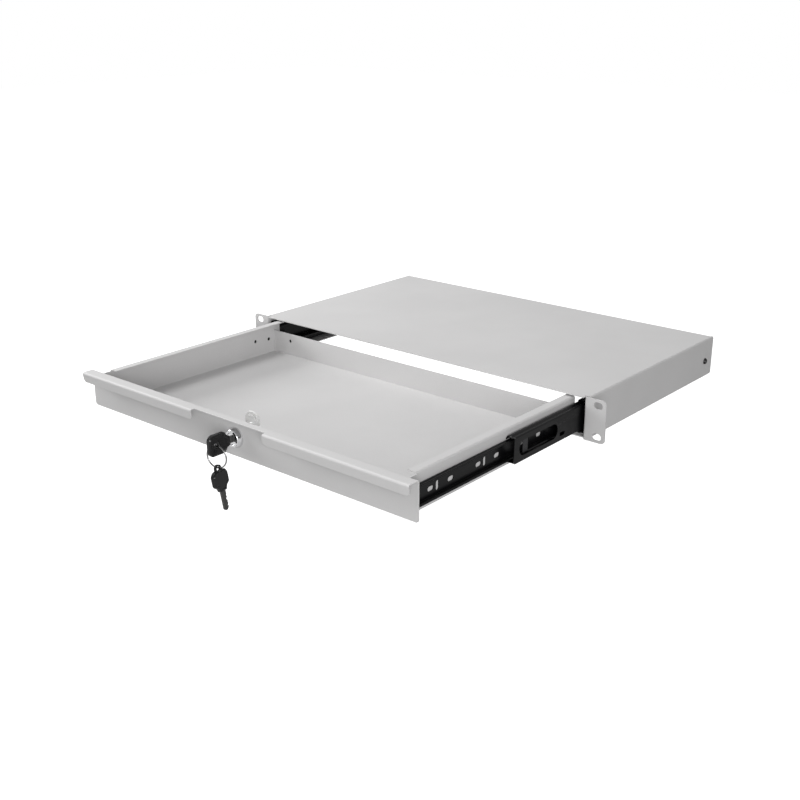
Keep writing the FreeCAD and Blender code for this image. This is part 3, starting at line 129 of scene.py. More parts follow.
class RACKDRAWER_PG_stage(bpy.types.PropertyGroup):
    floor_drop: bpy.props.FloatProperty(
        name="Floor Drop", description="Floor below the lowest point of the hanging key",
        default=0.16, min=0.0, max=1.0, unit="LENGTH")
    key_light: bpy.props.FloatProperty(
        name="Key Light", description="Power of the large lamp on the left",
        default=36.0, min=0.0, max=200.0)
    top_light: bpy.props.FloatProperty(
        name="Top Light", description="Power of the lamp above the drawer",
        default=15.8, min=0.0, max=200.0)
    fill_light: bpy.props.FloatProperty(
        name="Fill Light", description="Power of the low lamp in front, on the right",
        default=15.5, min=0.0, max=200.0)
    sky: bpy.props.FloatProperty(
        name="Sky", description="Strength of the even light from all round",
        default=0.36, min=0.0, max=2.0)


# ---------------------------------------------------------------------------
# Shader node groups
# ---------------------------------------------------------------------------

NOISE_LOW_AND_HIGH = (0.3, 0.7)         # between which most of a noise's values lie
FINE_PER_HUMP = 3.2                     # fine noise of the coat, against its humps
FINE_HEIGHT = 0.3
SPECK_LOW_AND_HIGH = (0.35, 0.65)
SPECK_SHADES = (0.975, 1.025)
CLOUD_SCALE = 9.0                       # wide, faint patches of the coat, in a metre
CLOUD_SHADES = (0.97, 1.03)
WORN_SCALE = 14.0                       # patches where the coat is a little duller
WORN_ROUGHNESS = 0.05
SMUDGE_SCALE = 0.04                     # smudges on metal, against its streaks
SURFACE_OUTPUTS = (("Color", "NodeSocketColor"), ("Roughness", "NodeSocketFloat"),
                   ("Height", "NodeSocketFloat"))


def start_group(name, inputs, outputs):
    """A node group with its sockets; returns the group, its input and its output node."""
    group = bpy.data.node_groups.new(name, "ShaderNodeTree")
    for label, kind, default in inputs:
        socket = group.interface.new_socket(label, in_out="INPUT", socket_type=kind)
        if default is not None:
            socket.default_value = default
    for label, kind in outputs:
        group.interface.new_socket(label, in_out="OUTPUT", socket_type=kind)
    return group, group.nodes.new("NodeGroupInput"), group.nodes.new("NodeGroupOutput")


def add_node(tree, kind, links=None, **settings):
    """A node with its settings, and links into its sockets by name or number."""
    node = tree.nodes.new(kind)
    for name, value in settings.items():
        setattr(node, name, value)
    for socket, source in (links or {}).items():
        if hasattr(source, "is_output"):
            tree.links.new(source, node.inputs[socket])
        else:
            node.inputs[socket].default_value = source
    return node


def add_noise(tree, vector, scale, detail, roughness):
    """A noise texture on a vector."""
    return add_node(tree, "ShaderNodeTexNoise",
                    {"Vector": vector, "Scale": scale, "Detail": detail, "Roughness": roughness})


def remap(tree, value, low, high, to_low, to_high):
    """A value moved from one range into another."""
    node = add_node(tree, "ShaderNodeMapRange", {
        "Value": value, "From Min": low, "From Max": high, "To Min": to_low, "To Max": to_high})
    return node.outputs["Result"]


def build_powder_coat_group():
    """Humps of a baked powder coat: colour, roughness and height."""
    group, given, result = start_group("Powder Coat", [
        ("Vector", "NodeSocketVector", None),
        ("Colour", "NodeSocketColor", (0.6, 0.6, 0.6, 1.0)),
        ("Peel Size", "NodeSocketFloat", 0.0011),
        ("Roughness", "NodeSocketFloat", 0.5),
    ], SURFACE_OUTPUTS)
    vector = given.outputs["Vector"]
    frequency = add_node(group, "ShaderNodeMath", {0: 1.0, 1: given.outputs["Peel Size"]},
                         operation="DIVIDE").outputs[0]
    peel = add_noise(group, vector, frequency, 2.0, 0.45)
    fine_frequency = add_node(group, "ShaderNodeMath", {0: frequency, 1: FINE_PER_HUMP},
                              operation="MULTIPLY").outputs[0]
    fine = add_noise(group, vector, fine_frequency, 1.0, 0.5)
    height = add_node(group, "ShaderNodeMath",
                      {0: fine.outputs["Fac"], 1: FINE_HEIGHT, 2: peel.outputs["Fac"]},
                      operation="MULTIPLY_ADD")
    cloud = add_noise(group, vector, CLOUD_SCALE, 3.0, 0.55)
    shade = remap(group, cloud.outputs["Fac"], *NOISE_LOW_AND_HIGH, *CLOUD_SHADES)
    speck = remap(group, fine.outputs["Fac"], *SPECK_LOW_AND_HIGH, *SPECK_SHADES)
    both = add_node(group, "ShaderNodeMath", {0: shade, 1: speck}, operation="MULTIPLY")
    colour = add_node(group, "ShaderNodeVectorMath", {0: given.outputs["Colour"]},
                      operation="SCALE")
    group.links.new(both.outputs[0], colour.inputs["Scale"])
    worn = add_noise(group, vector, WORN_SCALE, 4.0, 0.6)
    wander = remap(group, worn.outputs["Fac"], *NOISE_LOW_AND_HIGH,
                   -WORN_ROUGHNESS, WORN_ROUGHNESS)
    rough = add_node(group, "ShaderNodeMath", {0: given.outputs["Roughness"], 1: wander},
                     operation="ADD")
    group.links.new(colour.outputs["Vector"], result.inputs["Color"])
    group.links.new(rough.outputs[0], result.inputs["Roughness"])
    group.links.new(height.outputs[0], result.inputs["Height"])
    return group


def build_drawn_metal_group():
    """Fine streaks along one direction, with faint smudges: colour, roughness and height."""
    group, given, result = start_group("Drawn Metal", [
        ("Vector", "NodeSocketVector", None),
        ("Colour", "NodeSocketColor", (0.5, 0.5, 0.5, 1.0)),
        ("Roughness", "NodeSocketFloat", 0.3),
        ("Streak", "NodeSocketFloat", 0.08),
        ("Smudge", "NodeSocketFloat", 0.1),
    ], SURFACE_OUTPUTS)
    vector = given.outputs["Vector"]
    streaks = add_noise(group, vector, 1.0, 3.0, 0.6)
    smudges = add_noise(group, vector, SMUDGE_SCALE, 4.0, 0.6)
    streak = remap(group, streaks.outputs["Fac"], *NOISE_LOW_AND_HIGH, -1.0, 1.0)
    smudge = remap(group, smudges.outputs["Fac"], *NOISE_LOW_AND_HIGH, -1.0, 1.0)
    streak_part = add_node(group, "ShaderNodeMath", {0: streak, 1: given.outputs["Streak"]},
                           operation="MULTIPLY")
    smudge_part = add_node(group, "ShaderNodeMath", {0: smudge, 1: given.outputs["Smudge"]},
                           operation="MULTIPLY")
    change = add_node(group, "ShaderNodeMath",
                      {0: streak_part.outputs[0], 1: smudge_part.outputs[0]}, operation="ADD")
    roughness = given.outputs["Roughness"]
    rough = add_node(group, "ShaderNodeMath", {0: change.outputs[0], 1: roughness, 2: roughness},
                     operation="MULTIPLY_ADD")
    shade = add_node(group, "ShaderNodeMath", {0: 1.0, 1: change.outputs[0]}, operation="SUBTRACT")
    colour = add_node(group, "ShaderNodeVectorMath", {0: given.outputs["Colour"]},
                      operation="SCALE")
    group.links.new(shade.outputs[0], colour.inputs["Scale"])
    group.links.new(colour.outputs["Vector"], result.inputs["Color"])
    group.links.new(rough.outputs[0], result.inputs["Roughness"])
    group.links.new(streaks.outputs["Fac"], result.inputs["Height"])
    return group


GROUP_BUILDERS = {"Powder Coat": build_powder_coat_group, "Drawn Metal": build_drawn_metal_group}


def shader_group(name):
    """The named group, made when it is first asked for."""
    return bpy.data.node_groups.get(name) or GROUP_BUILDERS[name]()


# ---------------------------------------------------------------------------
# Materials
# ---------------------------------------------------------------------------

FINISH_SUFFIX = "_finish"               # the frame has plain materials with the slots' names
COAT_BUMP = (0.35, 0.06 * MM)           # strength, and height of the humps
COAT_SPECULAR = 0.28
METAL_BUMP_HEIGHT = 0.03 * MM
PAINT_ROUGHNESS = {"housing_paint": 0.6, "drawer_paint": 0.58}
LENGTHWISE = (2000.0, 60.0, 2000.0)     # streaks in a metre along x, y and z

# slide_black and key_plastic take their colours from the sidebar.
METALS = {
    "slide_black": {"roughness": 0.3, "grain": (2600.0, 60.0, 2600.0), "streak": 0.1,
                    "smudge": 0.25, "metallic": 0.0, "specular": 0.2},
    "retainer_steel": {"colour": (0.05, 0.05, 0.052), "roughness": 0.35, "grain": LENGTHWISE},
    "ball_steel": {"colour": (0.72, 0.72, 0.73), "roughness": 0.08,
                   "grain": (500.0, 500.0, 500.0), "streak": 0.02, "bump": 0.02},
    "zinc_steel": {"colour": (0.88, 0.88, 0.87), "roughness": 0.5,
                   "grain": (900.0, 900.0, 900.0), "streak": 0.06, "smudge": 0.12,
                   "metallic": 0.6},
    "screw_steel": {"colour": (0.03, 0.03, 0.03), "roughness": 0.3,
                    "grain": (1500.0, 1500.0, 1500.0), "streak": 0.06, "smudge": 0.15},
    "lock_chrome": {"colour": (0.76, 0.76, 0.77), "roughness": 0.07,
                    "grain": (800.0, 800.0, 800.0), "streak": 0.03, "smudge": 0.2,
                    "bump": 0.03},
    "key_steel": {"colour": (0.1, 0.099, 0.096), "roughness": 0.32,
                  "grain": (2500.0, 200.0, 2500.0)},
    "ring_steel": {"colour": (0.3, 0.3, 0.3), "roughness": 0.2,
                   "grain": (1200.0, 1200.0, 1200.0), "streak": 0.05, "smudge": 0.15},
    "key_plastic": {"roughness": 0.16, "grain": (600.0, 600.0, 600.0), "streak": 0.05,
                    "smudge": 0.3, "metallic": 0.0, "specular": 0.35, "bump": 0.06},
    "bumper_nylon": {"colour": (0.02, 0.02, 0.02), "roughness": 0.55,
                     "grain": (900.0, 900.0, 900.0), "metallic": 0.0},
}


def paint():
    return bpy.context.scene.rack_drawer_paint


def metal():
    return bpy.context.scene.rack_drawer_metal


def keys():
    return bpy.context.scene.rack_drawer_keys


def stage_sizes():
    return bpy.context.scene.rack_drawer_stage


def start_material(name, stretch=(1.0, 1.0, 1.0)):
    """A material with its shader and a mapped Object coordinate."""
    material = bpy.data.materials.new(name + FINISH_SUFFIX)
    material.use_nodes = True
    tree = material.node_tree
    tree.nodes.clear()
    shader = tree.nodes.new("ShaderNodeBsdfPrincipled")
    output = tree.nodes.new("ShaderNodeOutputMaterial")
    tree.links.new(shader.outputs["BSDF"], output.inputs["Surface"])
    place = tree.nodes.new("ShaderNodeTexCoord")
    mapping = add_node(tree, "ShaderNodeMapping",
                       {"Vector": place.outputs["Object"], "Scale": stretch})
    return material, tree, shader, mapping.outputs["Vector"]


def wire_surface(tree, shader, surface, bump_strength, bump_distance):
    """Send a group's colour, roughness and height to the shader."""
    bump = add_node(tree, "ShaderNodeBump",
                    {"Strength": bump_strength, "Distance": bump_distance,
                     "Height": surface.outputs["Height"]})
    tree.links.new(surface.outputs["Color"], shader.inputs["Base Color"])
    tree.links.new(surface.outputs["Roughness"], shader.inputs["Roughness"])
    tree.links.new(bump.outputs["Normal"], shader.inputs["Normal"])


def powder_coat(name, roughness):
    """Painted sheet with the colour and peel of the sidebar."""
    material, tree, shader, vector = start_material(name)
    surface = add_node(tree, "ShaderNodeGroup", node_tree=shader_group("Powder Coat"))
    tree.links.new(vector, surface.inputs["Vector"])
    surface.inputs["Colour"].default_value = (*paint().colour, 1.0)
    surface.inputs["Peel Size"].default_value = paint().peel_size
    surface.inputs["Roughness"].default_value = roughness
    wire_surface(tree, shader, surface, *COAT_BUMP)
    shader.inputs["Specular IOR Level"].default_value = COAT_SPECULAR
    return material


def drawn_metal(name, colour, roughness, grain, streak=0.08, smudge=0.1, metallic=1.0,
                specular=0.5, bump=0.12):
    """Metal or plastic with streaks; `grain` is how many a metre holds along x, y and z."""
    material, tree, shader, vector = start_material(name, grain)
    surface = add_node(tree, "ShaderNodeGroup", node_tree=shader_group("Drawn Metal"))
    tree.links.new(vector, surface.inputs["Vector"])
    surface.inputs["Colour"].default_value = (*colour, 1.0)
    surface.inputs["Roughness"].default_value = roughness
    surface.inputs["Streak"].default_value = streak
    surface.inputs["Smudge"].default_value = smudge
    wire_surface(tree, shader, surface, bump, METAL_BUMP_HEIGHT)
    shader.inputs["Metallic"].default_value = metallic
    shader.inputs["Specular IOR Level"].default_value = specular
    return material


def finish(name):
    """The finish of a slot, made when it is first asked for."""
    made = bpy.data.materials.get(name + FINISH_SUFFIX)
    if made:
        return made
    if name in PAINT_ROUGHNESS:
        return powder_coat(name, PAINT_ROUGHNESS[name])
    chosen = {"slide_black": metal().slide_colour, "key_plastic": keys().head_colour}
    return drawn_metal(name, **{"colour": chosen.get(name), **METALS[name]})


# ---------------------------------------------------------------------------
# Making pieces
# ---------------------------------------------------------------------------

WELD_DISTANCE = 0.002 * MM
SHORTEST_EDGE = 0.001 * MM
FLAT_BELOW = math.radians(0.8)          # faces that meet at less are one flat face
SMOOTH_BELOW = math.radians(35.0)
SHARP_ABOVE = 38.0                      # degrees; edges that are rounded
EDGE_SEGMENTS = 2


def centre_of(node):
    """The middle of a CAD node's box."""
    low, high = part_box(node)
    return (low + high) / 2


def body_of_node(node):
    return frame["nodes"][node]["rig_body"]


def add_piece(node, name, bm, slot):
    """Turn a bmesh into the finished object that stands for a CAD node and rides on its body."""
    mesh = bpy.data.meshes.new(name)
    bm.to_mesh(mesh)
    bm.free()
    mesh.shade_smooth()
    mesh.set_sharp_from_angle(angle=SMOOTH_BELOW)
    piece = bpy.data.objects.new(name, mesh)
    bpy.context.scene.collection.objects.link(piece)
    mesh.materials.append(finish(slot))
    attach(piece, body_of_node(node))
    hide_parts(node)
    return piece


def weigh_normals(piece):
    """Keep large flat faces flat in the shading beside their small rounded edges."""
    modifier = piece.modifiers.new("weighted_normals", "WEIGHTED_NORMAL")
    modifier.mode = "FACE_AREA"
    modifier.weight = 100
    modifier.keep_sharp = True


def welded_copy(node):
    """A bmesh of a CAD node with its loose triangles joined and flat faces made whole."""
    bm = bmesh.new()
    bm.from_mesh(frame["nodes"][node].data)
    bm.normal_update()
    bmesh.ops.remove_doubles(bm, verts=bm.verts, dist=WELD_DISTANCE)
    bmesh.ops.dissolve_degenerate(bm, dist=SHORTEST_EDGE, edges=bm.edges)
    bmesh.ops.dissolve_limit(bm, angle_limit=FLAT_BELOW, use_dissolve_boundaries=False,
                             verts=bm.verts, edges=bm.edges, delimit=set())
    return bm


def bevel(bm, edges, offset, segments):
    """Round some edges."""
    bmesh.ops.bevel(bm, geom=edges, offset=offset, offset_type="OFFSET", segments=segments,
                    profile=0.5, affect="EDGES", clamp_overlap=True, material=-1)


def round_edges(bm, radius, sharper_than=SHARP_ABOVE):
    """Round the edges whose faces meet at more than an angle."""
    limit = math.radians(sharper_than)
    edges = [e for e in bm.edges if e.is_manifold and abs(e.calc_face_angle_signed()) > limit]
    bevel(bm, edges, radius, EDGE_SEGMENTS)


def dress_node(node, name, slot, radius):
    """A rounded copy of a CAD node that stands for it."""
    bm = welded_copy(node)
    round_edges(bm, radius)
    weigh_normals(add_piece(node, name, bm, slot))


# ---------------------------------------------------------------------------
# Painted sheet
# ---------------------------------------------------------------------------

PANEL_SHEET = 1.2 * MM
PANEL_BEND = 1.0 * MM                   # inside radius
PANEL_FLANGE = 7.9 * MM                 # reach of the top edge in front of the panel
HANDLE_START = 48.0 * MM                # from the middle to where a handle lip starts
HANDLE_DROP = 10.3 * MM                 # from the panel's top to a lip's lower edge
HANDLE_CORNER = 4.0 * MM
HANDLE_TILT = math.radians(7.0)         # a lip's lower edge leans back towards the panel
CORNER_SEGMENTS = 6
BEND_STEPS = 7
CUT_TOLERANCE = 0.0001 * MM


def boundary_of(faces):
    """The verts, edges and faces that an operator takes for some faces."""
    return (list({v for f in faces for v in f.verts}) + list({e for f in faces for e in f.edges})
            + list(faces))


def push_faces(bm, faces, move):
    """Extrude faces straight; returns the faces at the far end."""
    made = bmesh.ops.extrude_face_region(bm, geom=boundary_of(faces))["geom"]
    bmesh.ops.translate(bm, vec=move, verts=[v for v in made if isinstance(v, bmesh.types.BMVert)])
    return [f for f in made if isinstance(f, bmesh.types.BMFace)]


def turn_faces(bm, faces, centre, angle):
    """Extrude faces round an axis along x; returns the faces at the far end."""
    made = bmesh.ops.spin(bm, geom=boundary_of(faces), cent=centre, axis=X_AXIS, angle=angle,
                          steps=BEND_STEPS, use_duplicate=False)["geom_last"]
    return [f for f in made if isinstance(f, bmesh.types.BMFace)]


def folded_panel(radius):
    """The drawer front with its top edge folded forward and a handle lip on each side."""
    low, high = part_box("front_panel")
    back, top = high.y, high.z
    front = back - PANEL_SHEET
    turn = PANEL_BEND + PANEL_SHEET
    bm = welded_copy("front_panel")
    bmesh.ops.bisect_plane(bm, geom=bm.verts[:] + bm.edges[:] + bm.faces[:], dist=CUT_TOLERANCE,
                           plane_co=(0, 0, top - turn), plane_no=Z_AXIS, clear_outer=True)
    plain_lips = [v for v in bm.verts if v.co.y < front - PANEL_BEND / 2]
    bmesh.ops.delete(bm, geom=plain_lips, context="VERTS")
    rims = [e for e in bm.edges if e.is_boundary]
    edge = bmesh.ops.holes_fill(bm, edges=rims, sides=0)["faces"]
    edge = turn_faces(bm, edge, (0, front - PANEL_BEND, top - turn), math.pi / 2)
    edge = push_faces(bm, edge, (0, PANEL_BEND - PANEL_FLANGE, 0))
    for x in (-HANDLE_START, HANDLE_START):
        cut = bmesh.ops.bisect_plane(bm, geom=boundary_of(edge), dist=CUT_TOLERANCE,
                                     plane_co=(x, 0, 0), plane_no=X_AXIS)["geom"]
        edge = [f for f in cut if isinstance(f, bmesh.types.BMFace)]
    lips = [[f for f in edge if side * f.calc_center_median().x > HANDLE_START]
            for side in (-1, 1)]
    for lip in lips:
        lip = push_faces(bm, lip, (0, low.y + turn - (front - PANEL_FLANGE), 0))
        lip = turn_faces(bm, lip, (0, low.y + turn, top - turn), math.pi / 2 + HANDLE_TILT)
        fall = Vector((0, math.sin(HANDLE_TILT), -math.cos(HANDLE_TILT))) * (HANDLE_DROP - turn)
        lip = push_faces(bm, lip, fall)
        through_sheet = [e for f in lip for e in f.edges
                         if abs(e.verts[0].co.x - e.verts[1].co.x) < MM]
        bevel(bm, through_sheet, HANDLE_CORNER, CORNER_SEGMENTS)
    round_edges(bm, radius)
    bmesh.ops.recalc_face_normals(bm, faces=bm.faces)
    weigh_normals(add_piece("front_panel", "front_panel_sheet", bm, "drawer_paint"))


class RACKDRAWER_OT_painted_sheet(bpy.types.Operator):
    """Make the housing, its ear brackets and cross rails, the drawer tray and its front panel"""
    bl_idname = "rack_drawer.painted_sheet"
    bl_label = "Painted Sheet"

    def execute(self, context):
        radius = paint().edge_radius
        dress_node("housing_shell", "housing_sheet", "housing_paint", radius)
        for node in ("front_cross_rail", "rear_cross_rail",
                     "left_ear_bracket", "right_ear_bracket"):
            dress_node(node, node + "_sheet", "housing_paint", radius)
        dress_node("drawer_tray", "drawer_tray_sheet", "drawer_paint", radius)
        folded_panel(radius)
        return {"FINISHED"}


# ---------------------------------------------------------------------------
# Slides, fasteners and lock
# ---------------------------------------------------------------------------

SCREW_EDGE = 0.1 * MM
RIVET_EDGE = 0.2 * MM
BARREL_EDGE = 0.15 * MM
PLUG_EDGE = 0.1 * MM
CAM_EDGE = 0.3 * MM
LOCK_NUT_EDGE = 0.3 * MM
CAM_NUT_EDGE = 0.2 * MM


class RACKDRAWER_OT_slides(bpy.types.Operator):
    """Make the members, ball retainers, balls and bumpers of both slides"""
    bl_idname = "rack_drawer.slides"
    bl_label = "Ball-Bearing Slides"

    def execute(self, context):
        radius = metal().edge_radius
        for side in SIDES:
            for member in ("outer", "middle", "drawer"):
                node = f"{side}_{member}_member"
                dress_node(node, node + "_steel", "slide_black", radius)
            for cage in ("outer", "inner"):
                node = f"{side}_{cage}_retainer"
                dress_node(node, node + "_strip", "retainer_steel", radius / 2)
                node = f"{side}_{cage}_balls"
                dress_node(node, node + "_polished", "ball_steel", radius / 2)
            node = f"{side}_slide_bumper"
            dress_node(node, node + "_block", "bumper_nylon", radius * 2)
        return {"FINISHED"}


class RACKDRAWER_OT_fasteners(bpy.types.Operator):
    """Make the slides' screws and spacers and the cross rails' rivets"""
    bl_idname = "rack_drawer.fasteners"
    bl_label = "Screws and Rivets"

    def execute(self, context):
        for node in ("housing_slide_screws", "drawer_slide_screws"):
            dress_node(node, node + "_set", "screw_steel", SCREW_EDGE)
        dress_node("rail_rivets", "rail_rivets_set", "zinc_steel", RIVET_EDGE)
        dress_node("slide_spacers", "slide_spacers_set", "zinc_steel", SCREW_EDGE)
        return {"FINISHED"}


class RACKDRAWER_OT_lock(bpy.types.Operator):
    """Make the cam lock: barrel, nut, plug, cam and cam nut"""
    bl_idname = "rack_drawer.lock"
    bl_label = "Cam Lock"

    def execute(self, context):
        dress_node("lock_barrel", "lock_barrel_turned", "lock_chrome", BARREL_EDGE)
        dress_node("lock_nut", "lock_nut_hexagon", "zinc_steel", LOCK_NUT_EDGE)
        dress_node("lock_plug", "lock_plug_turned", "lock_chrome", PLUG_EDGE)
        dress_node("lock_cam", "lock_cam_plate", "zinc_steel", CAM_EDGE)
        dress_node("cam_nut", "cam_nut_hexagon", "zinc_steel", CAM_NUT_EDGE)
        return {"FINISHED"}


# ---------------------------------------------------------------------------
# Keys and ring
# ---------------------------------------------------------------------------

PAD_RIM = 1.0 * MM                      # round the raised pad of a key's head
PAD_STEP = 0.5 * MM
SAME_WAY = 0.999                        # cosine between faces that point the same way
LEVEL_TOLERANCE = 0.05 * MM
HEAD_EDGE = 0.18 * MM
HEAD_SHARP_ABOVE = 30.0                 # degrees; edges of a head that are rounded
BLADE_EDGE = 0.1 * MM
RING_TURN = math.radians(12.0)          # the ring's axis is turned from y about z
RING_WIRE = 0.32 * MM                   # half the flat wire's thickness, along the axis
RING_WIRE_REACH = 0.64 * MM             # half its width, away from the axis
RING_GAP = 1.02                         # between the two turns, against their thickness
RING_SIDES = 14
RING_STEPS = 96


def inset(bm, faces, width):
    """Shrink a group of faces in their plane, with new faces round them."""
    bmesh.ops.inset_region(bm, faces=faces, thickness=width, use_boundary=True,
                           use_even_offset=True)


def raise_pads(bm):
    """Lower the rim of both broad faces of a key's head, which leaves a pad on each."""
    across = max(bm.faces, key=lambda f: f.calc_area()).normal.copy()
    for way in (across, -across):
        level = max(v.co.dot(way) for v in bm.verts)
        broad = [f for f in bm.faces if f.normal.dot(way) > SAME_WAY
                 and level - f.calc_center_median().dot(way) < LEVEL_TOLERANCE]
        low = {v for f in broad for v in f.verts}
        inset(bm, broad, PAD_RIM)
        low |= {v for f in broad for v in f.verts}
        inset(bm, broad, PAD_STEP)
        bmesh.ops.translate(bm, vec=-PAD_STEP * way, verts=list(low))


def padded_head(key):
    """A key's moulded head with a raised pad on each side."""
    node = key + "_head"
    bm = welded_copy(node)
    raise_pads(bm)
    round_edges(bm, HEAD_EDGE, HEAD_SHARP_ABOVE)
    weigh_normals(add_piece(node, node + "_moulding", bm, "key_plastic"))


def wound_ring():
    """The ring as two closed turns of flat wire, side by side."""
    middle = centre_of("key_ring")
    axis = Vector((-math.sin(RING_TURN), math.cos(RING_TURN), 0))
    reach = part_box("key_ring")[1].z - middle.z - RING_WIRE_REACH
    turned = Matrix((axis, Z_AXIS, axis.cross(Z_AXIS))).transposed().to_4x4()
    section = Matrix.Diagonal((RING_WIRE, RING_WIRE_REACH, 1.0, 1.0))
    bm = bmesh.new()
    for side in (-1, 1):
        centre = middle + side * axis * RING_WIRE * RING_GAP
        start = Matrix.Translation(centre + reach * Z_AXIS) @ turned @ section
        verts = bmesh.ops.create_circle(bm, segments=RING_SIDES, radius=1.0,
                                        matrix=start)["verts"]
        loop = verts + list({e for v in verts for e in v.link_edges})
        bmesh.ops.spin(bm, geom=loop, cent=centre, axis=axis, angle=2 * math.pi,
                       steps=RING_STEPS, use_merge=True)
    bmesh.ops.recalc_face_normals(bm, faces=bm.faces)
    add_piece("key_ring", "key_ring_wire", bm, "ring_steel")


class RACKDRAWER_OT_keys(bpy.types.Operator):
    """Make both keys and the ring that holds them"""
    bl_idname = "rack_drawer.keys"
    bl_label = "Keys and Ring"

    def execute(self, context):
        for key in ("lock_key", "spare_key"):
            padded_head(key)
            dress_node(key + "_blade", key + "_blade_cut", "key_steel", BLADE_EDGE)
        wound_ring()
        return {"FINISHED"}


# ---------------------------------------------------------------------------
# Stage
# ---------------------------------------------------------------------------

CAMERA_AIM = Vector((-0.0087, -0.0074, -0.0330))
CAMERA_AZIMUTH = math.radians(40.23)
CAMERA_ELEVATION = math.radians(20.0)
CAMERA_DISTANCE = 1.236
CAMERA_LENS = 51.1
SENSOR_WIDTH = 36.0
CLIP_START_AND_END = (0.01, 50.0)
LAMPS = (                               # name, place, diameter, and which setting powers it
    ("key_lamp", Vector((-2.0, -0.55, 0.82)), 1.0, "key_light"),
    ("top_lamp", Vector((-0.8, -0.3, 1.9)), 1.2, "top_light"),
    ("fill_lamp", Vector((1.31, -1.31, 0.4)), 0.9, "fill_light"),
)
FLOOR_SIZE = 6.0                        # from its middle to a side
FLOOR_COLOUR = (0.4, 0.4, 0.4)
FLOOR_LIFT = (0.86, 1.0)                # added where the floor is looked at, near and far
FLOOR_NEAR_AND_FAR = (0.35, 0.95)       # from the middle of the drawer
GLOSS_LIFT = 0.3                        # share of the white surroundings seen in gloss


def aim(obj, place, target):
    """Put an object at a place and point its -Z at a target."""
    obj.location = place
    obj.rotation_euler = (target - place).to_track_quat("-Z", "Y").to_euler()


def add_camera():
    """The camera, at its azimuth and elevation round the point that it looks at."""
    data = bpy.data.cameras.new("studio_camera")
    data.lens = CAMERA_LENS
    data.sensor_width = SENSOR_WIDTH
    data.clip_start, data.clip_end = CLIP_START_AND_END
    camera = bpy.data.objects.new("studio_camera", data)
    bpy.context.scene.collection.objects.link(camera)
    away = Vector((math.sin(CAMERA_AZIMUTH) * math.cos(CAMERA_ELEVATION),
                   -math.cos(CAMERA_AZIMUTH) * math.cos(CAMERA_ELEVATION),
                   math.sin(CAMERA_ELEVATION)))
    aim(camera, CAMERA_AIM + away * CAMERA_DISTANCE, CAMERA_AIM)
    bpy.context.scene.camera = camera


def add_lamp(name, place, size, power):
    """A round area lamp that points at the origin."""
    data = bpy.data.lights.new(name, "AREA")
    data.shape = "DISK"
    data.size = size
    data.energy = power
    lamp = bpy.data.objects.new(name, data)
    bpy.context.scene.collection.objects.link(lamp)
    aim(lamp, place, Vector())


def seen_directly(tree):
    """A value of 1 where the camera sees a surface directly or in glass, and less in gloss."""
    path = tree.nodes.new("ShaderNodeLightPath")
    dimmed = add_node(tree, "ShaderNodeMath", {0: path.outputs["Is Glossy Ray"], 1: GLOSS_LIFT},
                      operation="MULTIPLY")
    gloss = add_node(tree, "ShaderNodeMath",
                     {0: path.outputs["Is Camera Ray"], 1: dimmed.outputs[0]},
                     operation="MAXIMUM")
    glass = add_node(tree, "ShaderNodeMath",
                     {0: gloss.outputs[0], 1: path.outputs["Is Transmission Ray"]},
                     operation="MAXIMUM")
    return glass.outputs[0]


def add_world(strength):
    """Even light of a strength, which shows white behind the drawer."""
    world = bpy.data.worlds.new("studio_world")
    bpy.context.scene.world = world
    world.use_nodes = True
    tree = world.node_tree
    tree.nodes.clear()
    even = add_node(tree, "ShaderNodeBackground", {"Color": WHITE, "Strength": strength})
    white = add_node(tree, "ShaderNodeBackground", {"Color": WHITE, "Strength": 1.0})
    mix = add_node(tree, "ShaderNodeMixShader",
                   {0: seen_directly(tree), 1: even.outputs[0], 2: white.outputs[0]})
    output = tree.nodes.new("ShaderNodeOutputWorld")
    tree.links.new(mix.outputs[0], output.inputs["Surface"])


def floor_material():
    """A pale floor that shows white where nothing shades it."""
    material = bpy.data.materials.new("studio_floor")
    material.use_nodes = True
    tree = material.node_tree
    tree.nodes.clear()
    matte = add_node(tree, "ShaderNodeBsdfDiffuse", {"Color": (*FLOOR_COLOUR, 1.0)})
    place = tree.nodes.new("ShaderNodeTexCoord")
    reach = add_node(tree, "ShaderNodeVectorMath", {0: place.outputs["Object"]},
                     operation="LENGTH")
    white_share = remap(tree, reach.outputs["Value"], *FLOOR_NEAR_AND_FAR, *FLOOR_LIFT)
    lift = add_node(tree, "ShaderNodeMath", {0: seen_directly(tree), 1: white_share},
                    operation="MULTIPLY")
    white = add_node(tree, "ShaderNodeEmission",
                     {"Color": WHITE, "Strength": lift.outputs[0]})
    both = add_node(tree, "ShaderNodeAddShader", {0: matte.outputs[0], 1: white.outputs[0]})
    output = tree.nodes.new("ShaderNodeOutputMaterial")
    tree.links.new(both.outputs[0], output.inputs["Surface"])
    return material


def add_floor(level):
    """The floor, a flat square at a given level."""
    bm = bmesh.new()
    bmesh.ops.create_grid(bm, x_segments=1, y_segments=1, size=FLOOR_SIZE)
    bmesh.ops.translate(bm, verts=bm.verts, vec=(0, 0, level))
    mesh = bpy.data.meshes.new("studio_floor")
    bm.to_mesh(mesh)
    bm.free()
    floor = bpy.data.objects.new("studio_floor", mesh)
    bpy.context.scene.collection.objects.link(floor)
    mesh.materials.append(floor_material())


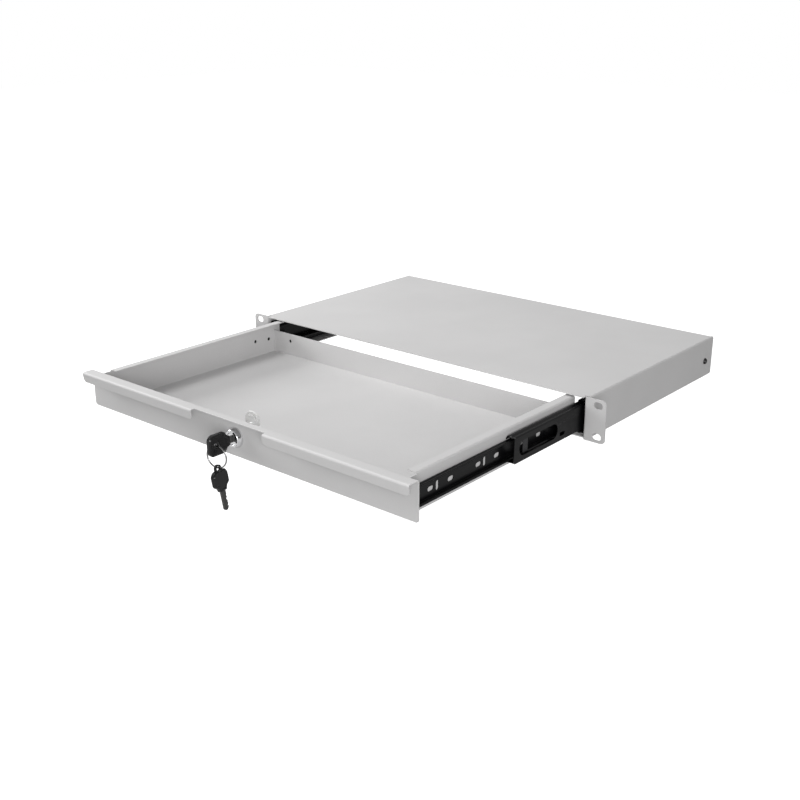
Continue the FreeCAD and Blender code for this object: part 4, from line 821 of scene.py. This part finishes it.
class RACKDRAWER_OT_stage(bpy.types.Operator):
    """Make the camera, lamps, even light and floor"""
    bl_idname = "rack_drawer.stage"
    bl_label = "Stage"

    def execute(self, context):
        scene = bpy.context.scene
        scene.view_settings.view_transform = "Standard"
        sizes = stage_sizes()
        add_camera()
        add_world(sizes.sky)
        for name, place, diameter, setting in LAMPS:
            add_lamp(name, place, diameter, getattr(sizes, setting))
        add_floor(CAD_BOUNDS[0][2] - sizes.floor_drop)
        return {"FINISHED"}


# ---------------------------------------------------------------------------
# Sidebar panel, registration and the run
# ---------------------------------------------------------------------------

OPERATORS = (
    RACKDRAWER_OT_stage,
    RACKDRAWER_OT_painted_sheet,
    RACKDRAWER_OT_slides,
    RACKDRAWER_OT_fasteners,
    RACKDRAWER_OT_lock,
    RACKDRAWER_OT_keys,
)

GROUPS = (
    ("rack_drawer_paint", RACKDRAWER_PG_paint),
    ("rack_drawer_metal", RACKDRAWER_PG_metal),
    ("rack_drawer_keys", RACKDRAWER_PG_keys),
    ("rack_drawer_stage", RACKDRAWER_PG_stage),
)


class RACKDRAWER_PT_sidebar(bpy.types.Panel):
    """Lists the steps that build the drawer"""
    bl_label = "Rack Drawer"
    bl_idname = "RACKDRAWER_PT_sidebar"
    bl_space_type = "VIEW_3D"
    bl_region_type = "UI"
    bl_category = "Rack Drawer"

    def draw(self, context):
        layout = self.layout
        for operator in OPERATORS:
            layout.operator(operator.bl_idname)
        for name, kind in GROUPS:
            box = layout.box()
            for setting in kind.__annotations__:
                box.prop(getattr(context.scene, name), setting)


def register():
    for _, kind in GROUPS:
        bpy.utils.register_class(kind)
    for operator in OPERATORS:
        bpy.utils.register_class(operator)
    bpy.utils.register_class(RACKDRAWER_PT_sidebar)
    for name, kind in GROUPS:
        setattr(bpy.types.Scene, name, bpy.props.PointerProperty(type=kind))


def unregister():
    for name, _ in GROUPS:
        delattr(bpy.types.Scene, name)
    bpy.utils.unregister_class(RACKDRAWER_PT_sidebar)
    for operator in reversed(OPERATORS):
        bpy.utils.unregister_class(operator)
    for _, kind in reversed(GROUPS):
        bpy.utils.unregister_class(kind)


def main():
    """Build the stage and every piece."""
    register()
    bpy.ops.rack_drawer.stage()
    bpy.ops.rack_drawer.painted_sheet()
    bpy.ops.rack_drawer.slides()
    bpy.ops.rack_drawer.fasteners()
    bpy.ops.rack_drawer.lock()
    bpy.ops.rack_drawer.keys()


if __name__ == "__main__":
    main()
